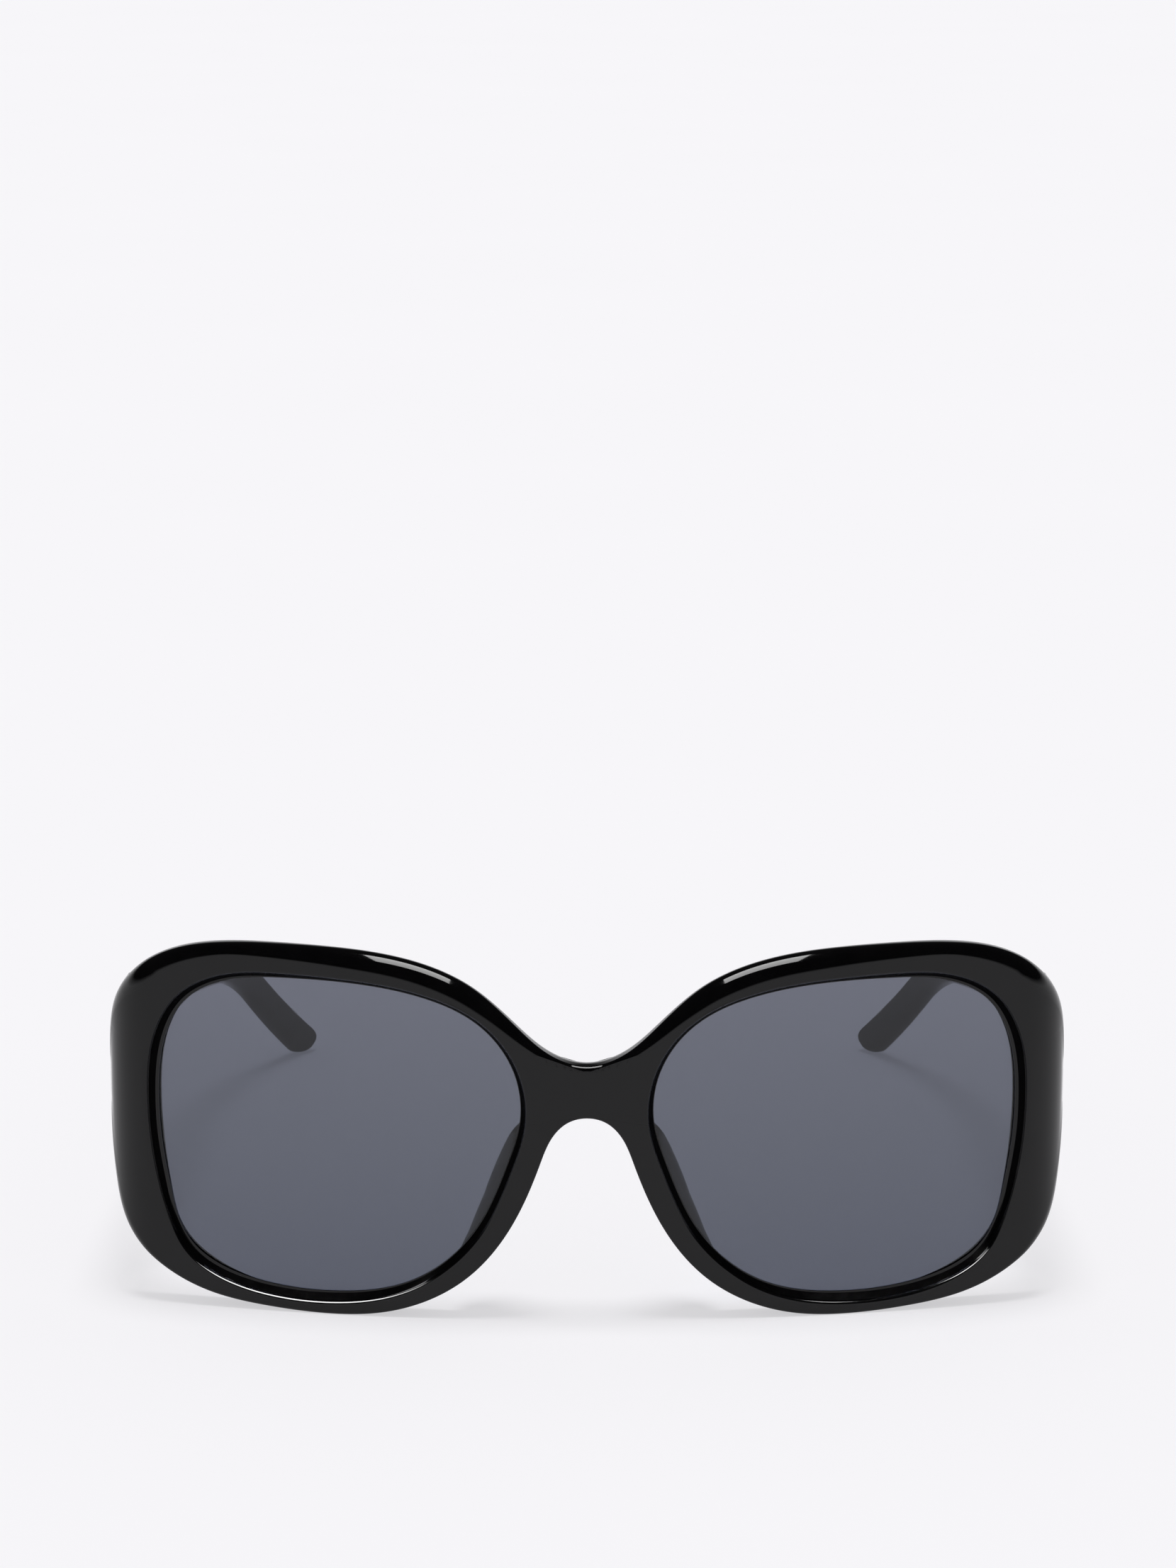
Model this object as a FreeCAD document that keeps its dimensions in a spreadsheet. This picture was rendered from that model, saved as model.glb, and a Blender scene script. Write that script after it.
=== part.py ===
import FreeCAD, Part
import math
import os

import Sketcher

# Oversized sunglasses with a curved plastic front, tinted lenses and folding temples.
# Millimetres, +Z up. The front faces -Y and the temples run back along +Y, opened.
# The wearer's left side is +X: it is built, and the right side is its mirror image.

V = FreeCAD.Vector
Z_AXIS = V(0, 0, 1)

doc = FreeCAD.newDocument("oversized_sunglasses")
sheet = doc.addObject("Spreadsheet::Sheet", "sizes")

# name, millimetres or degrees, meaning
SIZES = (
    ("opening_width", 57.3, "lens opening, nose side to temple side"),
    ("opening_height", 50.6, "lens opening, bottom to top"),
    ("bridge_gap", 21.0, "nose gap between the two lens openings"),
    ("rim_top", 5.2, "rim above the opening"),
    ("rim_side", 7.7, "rim beside the opening, at the temple"),
    ("rim_bottom", 2.8, "rim below the opening"),
    ("rim_nose", 4.2, "rim beside the opening, at the nose"),
    ("bridge_drop", 17.8, "top of the bridge below the top of the rims"),
    ("bridge_height", 8.2, "bridge, top to bottom"),
    ("front_radius", 250.0, "curve of the front, seen from above"),
    ("front_thickness", 4.6, "thickness of the front"),
    ("end_roll", 7.0, "radius that rolls the front's ends backward"),
    ("end_corner", 2.4, "radius inside that roll"),
    ("end_depth", 23.0, "front of the bridge to the temple joint"),
    ("end_wall", 3.6, "side wall behind the roll, above and below the joint"),
    ("edge_round", 1.0, "rounding of the front's outer edge"),
    ("opening_bevel", 0.95, "bevel round the opening's front edge"),
    ("lens_thickness", 2.0, "thickness of a lens"),
    ("lens_setback", 1.9, "front face to the lens"),
    ("lens_bite", 0.8, "depth of lens edge held in the groove"),
    ("lens_play", 0.05, "room round the lens edge"),
    ("temple_thickness", 4.2, "thickness of a temple"),
    ("temple_proud", 0.65, "temple standing out beyond the front's end"),
    ("temple_front_height", 25.0, "height of a temple at the joint"),
    ("temple_bar_height", 6.6, "height of a temple along its bar"),
    ("temple_flare", 32.0, "length over which the joint end narrows to the bar"),
    ("temple_slope", 9.0, "fall of the bar to the back, degrees"),
    ("temple_bar", 100.0, "joint to the start of the ear bend"),
    ("ear_radius", 34.0, "radius of the ear bend, at the top edge"),
    ("ear_drop", 45.0, "fall of the tip behind the bend, degrees"),
    ("temple_lean", 2.0, "lean of the bar toward the head, degrees"),
    ("curl_start", 74.0, "joint to the start of the inward curl"),
    ("curl_radius", 100.0, "radius of the inward curl"),
    ("temple_round", 1.3, "rounding of the temple's edges"),
    ("joint_gap", 0.2, "gap between front and temple"),
    ("hinge_height", 2.9, "middle of the hinge above the middle of the lens"),
    ("knuckle_radius", 1.4, "radius of the hinge barrel"),
    ("knuckle_height", 1.5, "height of one knuckle of five"),
    ("knuckle_gap", 0.1, "gap between two knuckles"),
    ("knuckle_room", 0.3, "room round the barrel in the plastic"),
    ("plate_thickness", 0.9, "thickness of a hinge plate"),
    ("plate_play", 0.05, "room round a plate in its pocket"),
    ("front_plate", 5.6, "hinge line to the end of the front plate"),
    ("temple_plate", 10.0, "hinge line to the end of the temple plate"),
    ("pin_radius", 0.7, "radius of the hinge screw's shank"),
    ("pin_play", 0.04, "room round that shank in the knuckles"),
    ("pin_end", 0.3, "shank standing out below the lowest knuckle"),
    ("pin_head_radius", 1.2, "radius of the hinge screw's head"),
    ("pin_head_height", 0.7, "height of the hinge screw's head"),
    ("slot_width", 0.35, "driver slot, width"),
    ("slot_depth", 0.3, "driver slot, depth"),
    ("fixing_radius", 0.5, "radius of a fixing screw's shank"),
    ("fixing_play", 0.02, "room round that shank"),
    ("fixing_length", 1.7, "fixing screw in the plastic"),
    ("fixing_head_radius", 0.85, "radius of a fixing screw's head"),
    ("fixing_head_height", 0.4, "height of a fixing screw's head"),
    ("fixing_spacing", 4.4, "distance between the two fixing screws of a plate"),
    ("core_height", 2.4, "height of the metal core in a temple"),
    ("core_thickness", 1.2, "thickness of that core"),
    ("core_tip", 9.0, "end of the core to the end of the tip"),
    ("core_play", 0.05, "room round the core"),
    ("pad_height", 20.5, "middle of a nose pad above the table"),
    ("pad_length", 31.0, "nose pad, along the nose"),
    ("pad_depth", 6.0, "nose pad, standing out behind the rim"),
    ("pad_root", 2.0, "nose pad's foot, sunk to the curve of the rim"),
    ("pad_thickness", 3.2, "nose pad, across"),
    ("pad_round", 1.4, "rounding of the nose pad"),
    ("pad_lean", 23.5, "lean of the pad along the nose, degrees"),
    ("pad_splay", 15.0, "spread of the pad to the back, degrees"),
)
for row, (name, value, meaning) in enumerate(SIZES, start=1):
    sheet.set("A%d" % row, name)
    sheet.set("B%d" % row, str(value))
    sheet.set("C%d" % row, meaning)
    sheet.setAlias("B%d" % row, name)
doc.recompute()


def size(name):
    return float(sheet.get(name))


def bind(item, **expressions):
    """Tie properties to the sheet; two underscores stand for a dot in a property's name."""
    for name, expression in expressions.items():
        item.setExpression(name.replace("__", "."), expression)
    return item


# Places worked out from the sizes. y counts from the front of the bridge until the depth is known.
R = size("front_radius")
WRAP = math.asin((size("bridge_gap") + size("opening_width")) / 2 / R)
HALF_OPENING = size("opening_width") / 2
LENS_X = size("bridge_gap") / 2 + HALF_OPENING * math.cos(WRAP)
LENS_Y = R - math.sqrt(R ** 2 - LENS_X ** 2)
LENS_Z = size("rim_bottom") + size("opening_height") / 2
TOP = size("rim_bottom") + size("opening_height") + size("rim_top")
SIDE = LENS_X + HALF_OPENING * math.cos(WRAP) + size("rim_side")
TEMPLE_OUT = SIDE + size("temple_proud")
TEMPLE_IN = TEMPLE_OUT - size("temple_thickness")
HINGE_Z = LENS_Z + size("hinge_height")
JOINT_TOP = HINGE_Z + size("temple_front_height") / 2
JOINT_BOTTOM = HINGE_Z - size("temple_front_height") / 2
BUTT = size("end_depth") + size("joint_gap")


def turned(degrees, length=1.0):
    """Vector in the side view: along the temple, falling by an angle."""
    angle = math.radians(degrees)
    return V(0, length * math.cos(angle), -length * math.sin(angle))


def below(degrees, length):
    """Vector square to turned(), toward the underside."""
    return turned(degrees + 90, length)


# Side view of a temple: the top edge, from the joint over the ear bend to the tip.
SLOPE = size("temple_slope")
DROP = size("ear_drop")
BAR = size("temple_bar_height")
TEMPLE_TOP = V(0, BUTT, JOINT_TOP)
BEND_START = TEMPLE_TOP + turned(SLOPE, size("temple_bar"))
BEND_MIDDLE = BEND_START + below(SLOPE, size("ear_radius"))
BEND_END = BEND_MIDDLE - below(DROP, size("ear_radius"))
# The tip runs on until its round end stands on the table, level with the rims.
TIP_RUN = (BEND_END.z - (BAR / 2) * (1 + math.cos(math.radians(DROP)))) / math.sin(math.radians(DROP))
TIP_TOP = BEND_END + turned(DROP, TIP_RUN)
TIP_MIDDLE = TIP_TOP + below(DROP, BAR / 2)
DEPTH = TIP_MIDDLE.y + BAR / 2
MIDDLE = FreeCAD.Placement(V(0, -DEPTH / 2, 0), FreeCAD.Rotation())


def feature(name, shape, placement=MIDDLE):
    """A drawn outline or solid that has no sketch of its own."""
    item = doc.addObject("Part::Feature", name)
    item.Shape = shape
    item.Placement = placement
    return item


def extrusion(name, outline, direction, forward, backward=0.0):
    """Solid made by pushing a closed outline along a direction."""
    item = doc.addObject("Part::Extrusion", name)
    item.Base = outline
    item.DirMode = "Custom"
    item.Dir = direction
    item.LengthFwd = forward
    item.LengthRev = backward
    item.Solid = True
    return item


def combined(kind, name, base, tool):
    item = doc.addObject(kind, name)
    item.Base = base
    item.Tool = tool
    return item


def closed_curve(points):
    curve = Part.BSplineCurve()
    curve.interpolate(points, PeriodicFlag=True)
    return Part.Wire(curve.toShape())


# Outline of a lens opening: across (nose -1, temple 1) and up (bottom -1, top 1).
OPENING_SHAPE = (
    (-1.00, 0.116), (-0.951, 0.485), (-0.768, 0.746), (-0.491, 0.899), (-0.11, 0.981), (0.299, 1.00),
    (0.626, 0.96), (0.842, 0.82), (0.957, 0.59), (1.00, 0.199), (0.96, -0.32), (0.846, -0.682),
    (0.575, -0.898), (0.072, -1.00), (-0.354, -0.928), (-0.626, -0.745), (-0.834, -0.442), (-0.946, -0.117),
)


def lens_outline(name, margin):
    """Outline of the opening, made larger by a margin, on the plane that the lens lies in."""
    across = HALF_OPENING + margin
    up = size("opening_height") / 2 + margin
    points = [V(u * across, 0, v * up) for u, v in OPENING_SHAPE]
    on_lens = FreeCAD.Placement(V(LENS_X, LENS_Y, LENS_Z), FreeCAD.Rotation(Z_AXIS, math.degrees(WRAP)))
    return feature(name, closed_curve(points), MIDDLE * on_lens)


THROUGH_LENS = V(-math.sin(WRAP), math.cos(WRAP), 0)

# Outline of the front's left half from the bridge outward over the rim and back under the nose,
# as shares of the room between the lens centre and the rim's outer edge.
RIM_SHAPE = (
    (-0.859, 0.612), (-0.657, 0.795), (-0.36, 0.931), (-0.015, 0.986), (0.255, 1.00), (0.506, 0.991),
    (0.711, 0.935), (0.859, 0.828), (0.96, 0.662), (0.997, 0.402), (1.00, 0.063), (0.978, -0.327),
    (0.92, -0.587), (0.775, -0.781), (0.562, -0.915), (0.308, -0.976), (0.036, -1.00), (-0.208, -0.981),
    (-0.42, -0.908), (-0.614, -0.773), (-0.763, -0.591), (-0.886, -0.35), (-0.972, -0.104),
)


def rim_point(across, up):
    inward = LENS_X - size("bridge_gap") / 2 + size("rim_nose")
    outward = SIDE - LENS_X
    x = LENS_X + across * (inward if across < 0 else outward)
    z = LENS_Z + up * (TOP - LENS_Z if up > 0 else LENS_Z)
    return V(x, 0, z)


def front_outline():
    bridge_top = TOP - size("bridge_drop")
    bridge_low = bridge_top - size("bridge_height")
    nose = size("bridge_gap") / 2
    left = [V(0.53 * nose, 0, bridge_top + 0.2 * size("bridge_height"))]
    left += [rim_point(across, up) for across, up in RIM_SHAPE]
    # The arch under the bridge falls by shares of the way down to the rim's nose corner.
    arch = bridge_low - left[-1].z
    left += [V(0.49 * nose, 0, bridge_low - 0.383 * arch), V(0.26 * nose, 0, bridge_low - 0.085 * arch)]
    right = [V(-p.x, 0, p.z) for p in reversed(left)]
    return closed_curve([V(0, 0, bridge_top)] + left + [V(0, 0, bridge_low)] + right)


def arc(start, middle, end):
    return Part.Arc(start, middle, end).toShape()


def line(start, end):
    return Part.LineSegment(start, end).toShape()


# The front seen from above: a curved band whose two ends roll backward to the temple joints.
ROLL = size("end_roll")
ROLL_TURN = math.radians(75)
ROLL_X = (SIDE - ROLL * math.sin(ROLL_TURN)) / (1 - ROLL / R)
ROLL_FROM = math.asin(ROLL_X / R)
ROLL_CENTRE = V((R - ROLL) * math.sin(ROLL_FROM), R - (R - ROLL) * math.cos(ROLL_FROM), 0)


def on_roll(angle):
    return ROLL_CENTRE + V(ROLL * math.sin(angle), -ROLL * math.cos(angle), 0)


ROLL_END = on_roll(ROLL_TURN)
RIM_BACK = ROLL_END.y + size("end_wall")


def band_outline():
    thickness = size("front_thickness")
    corner = size("end_corner")
    inside = R - thickness
    outer = ROLL_END + V(1.0, math.tan(ROLL_TURN), 0)
    corner_x = TEMPLE_IN - corner
    corner_y = R - math.sqrt((inside - corner) ** 2 - corner_x ** 2)
    angle = math.asin(corner_x / (inside - corner))
    corner_turn = (angle + math.pi / 2) / 2
    corner_start = V(inside * math.sin(angle), R - inside * math.cos(angle), 0)
    corner_middle = V(
        corner_x + corner * math.sin(corner_turn),
        corner_y - corner * math.cos(corner_turn),
        0,
    )
    corner_end = V(TEMPLE_IN, corner_y, 0)
    joint_in = V(TEMPLE_IN, size("end_depth"), 0)
    joint_out = V(outer.x, size("end_depth"), 0)

    def half(side):
        def at(p):
            return V(side * p.x, p.y, 0)
        return [
            arc(at(on_roll(ROLL_FROM)), at(on_roll((ROLL_FROM + ROLL_TURN) / 2)), at(ROLL_END)),
            line(at(ROLL_END), at(outer)),
            line(at(outer), at(joint_out)),
            line(at(joint_out), at(joint_in)),
            line(at(joint_in), at(corner_end)),
            arc(at(corner_end), at(corner_middle), at(corner_start)),
        ]

    face = on_roll(ROLL_FROM)
    edges = half(1) + half(-1)
    edges.append(arc(V(-face.x, face.y, 0), V(0, 0, 0), face))
    edges.append(arc(V(-corner_start.x, corner_start.y, 0), V(0, thickness, 0), corner_start))
    return Part.Wire(Part.__sortEdges__(edges))


rim_curve = feature("rim_outline", front_outline())
rim_block = extrusion("rim_block", rim_curve, V(0, 1, 0), 2 * size("end_depth"))
band_block = extrusion("band_block", feature("band_outline", band_outline()), Z_AXIS, 2 * TOP, TOP)
front_block = combined("Part::Common", "front_block", rim_block, band_block)


def trim_box(name, bottom, top):
    """Box behind the rim that leaves the end piece only as tall as the temple."""
    box = doc.addObject("Part::Box", name)
    box.Length = 4 * SIDE
    box.Width = size("end_depth")
    box.Height = top - bottom
    box.Placement = MIDDLE * FreeCAD.Placement(V(-2 * SIDE, RIM_BACK, bottom), FreeCAD.Rotation())
    return box


trims = doc.addObject("Part::MultiFuse", "trims")
trims.Shapes = [trim_box("trim_top", JOINT_TOP, 2 * TOP), trim_box("trim_bottom", -TOP, JOINT_BOTTOM)]
front_trimmed = combined("Part::Cut", "front_trimmed", front_block, trims)


def mirrored(name, source):
    item = doc.addObject("Part::Mirroring", name)
    item.Source = source
    item.Normal = V(1, 0, 0)
    return item


CUT_REACH = 4 * size("front_thickness")
opening_curve = lens_outline("opening_outline", 0.0)
left_opening = extrusion("left_opening", opening_curve, THROUGH_LENS, CUT_REACH, CUT_REACH)
openings = doc.addObject("Part::MultiFuse", "openings")
openings.Shapes = [left_opening, mirrored("right_opening", left_opening)]
front_open = combined("Part::Cut", "front_open", front_trimmed, openings)
doc.recompute()


def edges_where(shape, wanted):
    return [n for n, edge in enumerate(shape.Edges, start=1) if wanted(edge)]


def edge_middle(edge):
    return edge.valueAt((edge.FirstParameter + edge.LastParameter) / 2)


def on_front_face(edge):
    """True for an edge that runs along the front face, its roll included."""
    for fraction in (0.2, 0.5, 0.8):
        p = edge.valueAt(edge.FirstParameter + fraction * (edge.LastParameter - edge.FirstParameter))
        x = abs(p.x)
        y = p.y + DEPTH / 2
        if x <= ROLL_X:
            off = abs(math.hypot(x, R - y) - R)
        elif x <= ROLL_END.x and y <= ROLL_END.y:
            off = abs(math.hypot(x - ROLL_CENTRE.x, y - ROLL_CENTRE.y) - ROLL)
        else:
            off = abs((y - ROLL_END.y) - (x - ROLL_END.x) * math.tan(ROLL_TURN))
        if off > 0.01:
            return False
    return True


def in_opening(p):
    """True for a point on the wall of a lens opening."""
    local = p - MIDDLE.multVec(V(math.copysign(LENS_X, p.x), LENS_Y, LENS_Z))
    across = local.x * math.copysign(1, p.x) / math.cos(WRAP)
    return abs(across) < HALF_OPENING + 1.2 and abs(local.z) < size("opening_height") / 2 + 0.3


def joins_walls(shape, edge):
    """True for an edge between the front face and a wall, not a seam inside either."""
    faces = shape.ancestorsOfType(edge, Part.Face)
    return len({isinstance(face.Surface, Part.SurfaceOfExtrusion) for face in faces}) == 2


def front_edges(shape, opening):
    """Numbers of the front face's edges, either round the lens openings or round the outside."""
    found = []
    for number, edge in enumerate(shape.Edges, start=1):
        if on_front_face(edge) and joins_walls(shape, edge) and in_opening(edge_middle(edge)) == opening:
            found.append(number)
    return found


bevel = size("opening_bevel")
front_bevelled = doc.addObject("Part::Chamfer", "front_bevelled")
front_bevelled.Base = front_open
front_bevelled.Edges = [(number, bevel, bevel) for number in front_edges(front_open.Shape, True)]
doc.recompute()
rounding = size("edge_round")
front_rounded = doc.addObject("Part::Fillet", "front_rounded")
front_rounded.Base = front_bevelled
front_rounded.Edges = [(number, rounding, rounding) for number in front_edges(front_bevelled.Shape, False)]
doc.recompute()


def shell_between(name, front_expression, back_expression):
    """Upright tube about the front's centre of curvature, between two radii tied to the sheet."""
    outer = doc.addObject("Part::Cylinder", name + "_outer")
    inner = doc.addObject("Part::Cylinder", name + "_inner")
    for tube, expression in ((outer, front_expression), (inner, back_expression)):
        tube.Height = 3 * TOP
        tube.Placement = MIDDLE * FreeCAD.Placement(V(0, R, -TOP), FreeCAD.Rotation())
        bind(tube, Radius=expression)
    return combined("Part::Cut", name, outer, inner)


# Lens: cut from a curved sheet, its edge sprung into a groove round the opening.
LENS_FRONT = "sizes.front_radius - sizes.lens_setback"
lens_sheet = shell_between("lens_sheet", LENS_FRONT, LENS_FRONT + " - sizes.lens_thickness")
lens_edge = lens_outline("lens_edge", size("lens_bite") - size("lens_play"))
lens_blank = extrusion("lens_blank", lens_edge, THROUGH_LENS, CUT_REACH, CUT_REACH)
left_lens = combined("Part::Common", "left_lens", lens_blank, lens_sheet)

groove_sheet = shell_between(
    "groove_sheet",
    LENS_FRONT + " + sizes.lens_play",
    LENS_FRONT + " - sizes.lens_thickness - sizes.lens_play",
)
groove_edge = lens_outline("groove_edge", size("lens_bite"))
groove_blank = extrusion("groove_blank", groove_edge, THROUGH_LENS, CUT_REACH, CUT_REACH)
left_groove = combined("Part::Common", "left_groove", groove_blank, groove_sheet)

# Hinge: five knuckles on one upright screw at the inner corner of the joint.
BARREL = "(5 * sizes.knuckle_height + 4 * sizes.knuckle_gap)"
BARREL_HEIGHT = 5 * size("knuckle_height") + 4 * size("knuckle_gap")
PLATE_INSET = size("knuckle_radius") - size("plate_thickness")
PIVOT = V(TEMPLE_IN - PLATE_INSET, size("end_depth") + size("joint_gap") / 2, HINGE_Z)
AT_PIVOT = MIDDLE * FreeCAD.Placement(PIVOT, FreeCAD.Rotation())


def sketch_on(body, role, name):
    sketch = body.newObject("Sketcher::SketchObject", name)
    plane = next(item for item in body.Origin.OriginFeatures if item.Role == role)
    sketch.AttachmentSupport = [(plane, "")]
    sketch.MapMode = "FlatFace"
    return sketch


def held(sketch, axis, item, end, sign, expression, guess):
    """Distance from the sketch's origin to a point, tied to the sheet."""
    ends = (-1, 1, item, end) if sign > 0 else (item, end, -1, 1)
    number = sketch.addConstraint(Sketcher.Constraint("Distance" + axis, *ends, guess))
    sketch.setExpression("Constraints[%d]" % number, expression)


def polygon(sketch, points):
    """Closed run of level and upright lines; returns the number of its first line."""
    first = None
    count = len(points)
    for n, (x, y) in enumerate(points):
        end = points[(n + 1) % count]
        item = sketch.addGeometry(Part.LineSegment(V(x, y, 0), V(end[0], end[1], 0)))
        first = item if first is None else first
        sketch.addConstraint(Sketcher.Constraint("Horizontal" if y == end[1] else "Vertical", item))
    for n in range(count):
        after = first + (n + 1) % count
        sketch.addConstraint(Sketcher.Constraint("Coincident", first + n, 2, after, 1))
    return first


def slot_sketch(body, name, ranges):
    """Rectangles on the barrel's axis, one for each height range that is turned away."""
    sketch = sketch_on(body, "XZ_Plane", name)
    reach = size("knuckle_radius") + size("knuckle_room")
    for (low_sign, low_text, low), (high_sign, high_text, high) in ranges:
        bottom = low_sign * low
        top = high_sign * high
        first = polygon(sketch, [(0, bottom), (reach, bottom), (reach, top), (0, top)])
        sketch.addConstraint(Sketcher.Constraint("PointOnObject", first, 1, -2))
        held(sketch, "X", first, 2, 1, "sizes.knuckle_radius + sizes.knuckle_room", reach)
        held(sketch, "Y", first, 1, low_sign, low_text, low)
        held(sketch, "Y", first + 2, 1, high_sign, high_text, high)
    return sketch


def circle(sketch, x, y, expression, radius):
    """Circle with its radius tied to the sheet; returns its number."""
    item = sketch.addGeometry(Part.Circle(V(x, y, 0), Z_AXIS, radius))
    number = sketch.addConstraint(Sketcher.Constraint("Radius", item, radius))
    sketch.setExpression("Constraints[%d]" % number, expression)
    return item


def hinge_leaf(name, length_name, way, ranges):
    """Hinge leaf: a flat plate running one way along Y from its knuckles, pressed from one strip."""
    body = doc.addObject("PartDesign::Body", name)
    radius = size("knuckle_radius")
    length = size(length_name)
    inset = PLATE_INSET
    meet = math.acos(inset / radius)
    low = radius * math.sin(meet)
    profile = sketch_on(body, "XY_Plane", name + "_profile")
    profile.addGeometry(Part.LineSegment(V(inset, way * length, 0), V(radius, way * length, 0)))
    profile.addGeometry(Part.LineSegment(V(radius, way * length, 0), V(radius, 0, 0)))
    round_part = Part.Circle(V(0, 0, 0), Z_AXIS, radius)
    if way < 0:
        profile.addGeometry(Part.ArcOfCircle(round_part, 0, 2 * math.pi - meet))
    else:
        profile.addGeometry(Part.ArcOfCircle(round_part, meet, 2 * math.pi))
    profile.addGeometry(Part.LineSegment(V(inset, way * low, 0), V(inset, way * length, 0)))
    outside, inside = (1, 2) if way < 0 else (2, 1)
    for ends in ((0, 2, 1, 1), (1, 2, 2, outside), (2, inside, 3, 1), (3, 2, 0, 1), (2, 3, -1, 1)):
        profile.addConstraint(Sketcher.Constraint("Coincident", *ends))
    profile.addConstraint(Sketcher.Constraint("Horizontal", 0))
    profile.addConstraint(Sketcher.Constraint("Vertical", 1))
    profile.addConstraint(Sketcher.Constraint("Vertical", 3))
    profile.addConstraint(Sketcher.Constraint("PointOnObject", 1, 2, -1))
    number = profile.addConstraint(Sketcher.Constraint("Radius", 2, radius))
    profile.setExpression("Constraints[%d]" % number, "sizes.knuckle_radius")
    held(profile, "X", 0, 1, 1, "sizes.knuckle_radius - sizes.plate_thickness", inset)
    held(profile, "Y", 0, 1, way, "sizes." + length_name, length)

    pad = body.newObject("PartDesign::Pad", name + "_plate")
    pad.Profile = profile
    pad.SideType = "Symmetric"
    bind(pad, Length=BARREL)

    slots = slot_sketch(body, name + "_slots", ranges)
    groove = body.newObject("PartDesign::Groove", name + "_gaps")
    groove.Profile = slots
    groove.ReferenceAxis = (slots, ["V_Axis"])
    groove.Angle = 360

    bore = sketch_on(body, "XY_Plane", name + "_bore")
    item = circle(bore, 0, 0, "sizes.pin_radius + sizes.pin_play", size("pin_radius"))
    bore.addConstraint(Sketcher.Constraint("Coincident", item, 3, -1, 1))
    bored = body.newObject("PartDesign::Pocket", name + "_bored")
    bored.Profile = bore
    bored.Type = "ThroughAll"
    bored.SideType = "Symmetric"

    holes = sketch_on(body, "YZ_Plane", name + "_holes")
    along = fixing_place(length_name)
    half = size("fixing_spacing") / 2
    for sign in (1, -1):
        item = circle(holes, way * along, sign * half, "sizes.fixing_radius + sizes.fixing_play", 0.5)
        held(holes, "X", item, 3, way, fixing_text(length_name), along)
        held(holes, "Y", item, 3, sign, "sizes.fixing_spacing / 2", half)
    drilled = body.newObject("PartDesign::Pocket", name + "_drilled")
    drilled.Profile = holes
    drilled.Type = "ThroughAll"
    drilled.SideType = "Symmetric"
    body.Tip = drilled
    body.Placement = AT_PIVOT
    return body


def fixing_place(length_name):
    """Distance from the hinge line to a plate's fixing screws: the middle of its flat."""
    return (size(length_name) + size("knuckle_radius") + size("knuckle_room")) / 2


def fixing_text(length_name):
    return "(sizes.%s + sizes.knuckle_radius + sizes.knuckle_room) / 2" % length_name


HALF_KNUCKLE = ("sizes.knuckle_height / 2", size("knuckle_height") / 2)
MID_SLOT = (
    "sizes.knuckle_height / 2 + sizes.knuckle_gap",
    size("knuckle_height") / 2 + size("knuckle_gap"),
)
NEXT_TOP = (
    "1.5 * sizes.knuckle_height + 2 * sizes.knuckle_gap",
    1.5 * size("knuckle_height") + 2 * size("knuckle_gap"),
)
OUTER_SLOT = (
    "1.5 * sizes.knuckle_height + sizes.knuckle_gap",
    1.5 * size("knuckle_height") + size("knuckle_gap"),
)
BARREL_END = (BARREL + " / 2 + sizes.knuckle_gap", BARREL_HEIGHT / 2 + size("knuckle_gap"))

left_front_hinge = hinge_leaf(
    "left_front_hinge", "front_plate", -1,
    [((1, *HALF_KNUCKLE), (1, *NEXT_TOP)), ((-1, *NEXT_TOP), (-1, *HALF_KNUCKLE))],
)
left_temple_hinge = hinge_leaf(
    "left_temple_hinge", "temple_plate", 1,
    [
        ((-1, *MID_SLOT), (1, *MID_SLOT)),
        ((1, *OUTER_SLOT), (1, *BARREL_END)),
        ((-1, *BARREL_END), (-1, *OUTER_SLOT)),
    ],
)


def turned_screw(name, shank, head, seat, head_height, reach):
    """Slotted screw turned about Z; each size is a pair of sheet text and number."""
    body = doc.addObject("PartDesign::Body", name)
    profile = sketch_on(body, "XZ_Plane", name + "_profile")
    top = seat[1] + head_height[1]
    points = [(0, -reach[1]), (shank[1], -reach[1]), (shank[1], seat[1])]
    points += [(head[1], seat[1]), (head[1], top), (0, top)]
    polygon(profile, points)
    profile.addConstraint(Sketcher.Constraint("PointOnObject", 0, 1, -2))
    held(profile, "Y", 0, 1, -1, reach[0], reach[1])
    held(profile, "X", 1, 1, 1, shank[0], shank[1])
    if seat[1]:
        held(profile, "Y", 2, 1, 1, seat[0], seat[1])
    else:
        profile.addConstraint(Sketcher.Constraint("PointOnObject", 2, 1, -1))
    held(profile, "X", 3, 1, 1, head[0], head[1])
    held(profile, "Y", 4, 1, 1, seat[0] + " + " + head_height[0], top)
    turning = body.newObject("PartDesign::Revolution", name + "_turned")
    turning.Profile = profile
    turning.ReferenceAxis = (profile, ["V_Axis"])
    turning.Angle = 360

    slot = sketch_on(body, "XZ_Plane", name + "_slot")
    half = size("slot_width") / 2
    bottom = top - size("slot_depth")
    polygon(slot, [(-half, bottom), (half, bottom), (half, top + 1), (-half, top + 1)])
    held(slot, "X", 0, 1, -1, "sizes.slot_width / 2", half)
    held(slot, "X", 0, 2, 1, "sizes.slot_width / 2", half)
    held(slot, "Y", 0, 1, 1, seat[0] + " + " + head_height[0] + " - sizes.slot_depth", bottom)
    held(slot, "Y", 2, 1, 1, seat[0] + " + " + head_height[0] + " + 1", top + 1)
    cut = body.newObject("PartDesign::Pocket", name + "_slotted")
    cut.Profile = slot
    cut.Type = "ThroughAll"
    cut.SideType = "Symmetric"
    body.Tip = cut
    return body


def sized(name):
    return ("sizes." + name, size(name))


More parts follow.
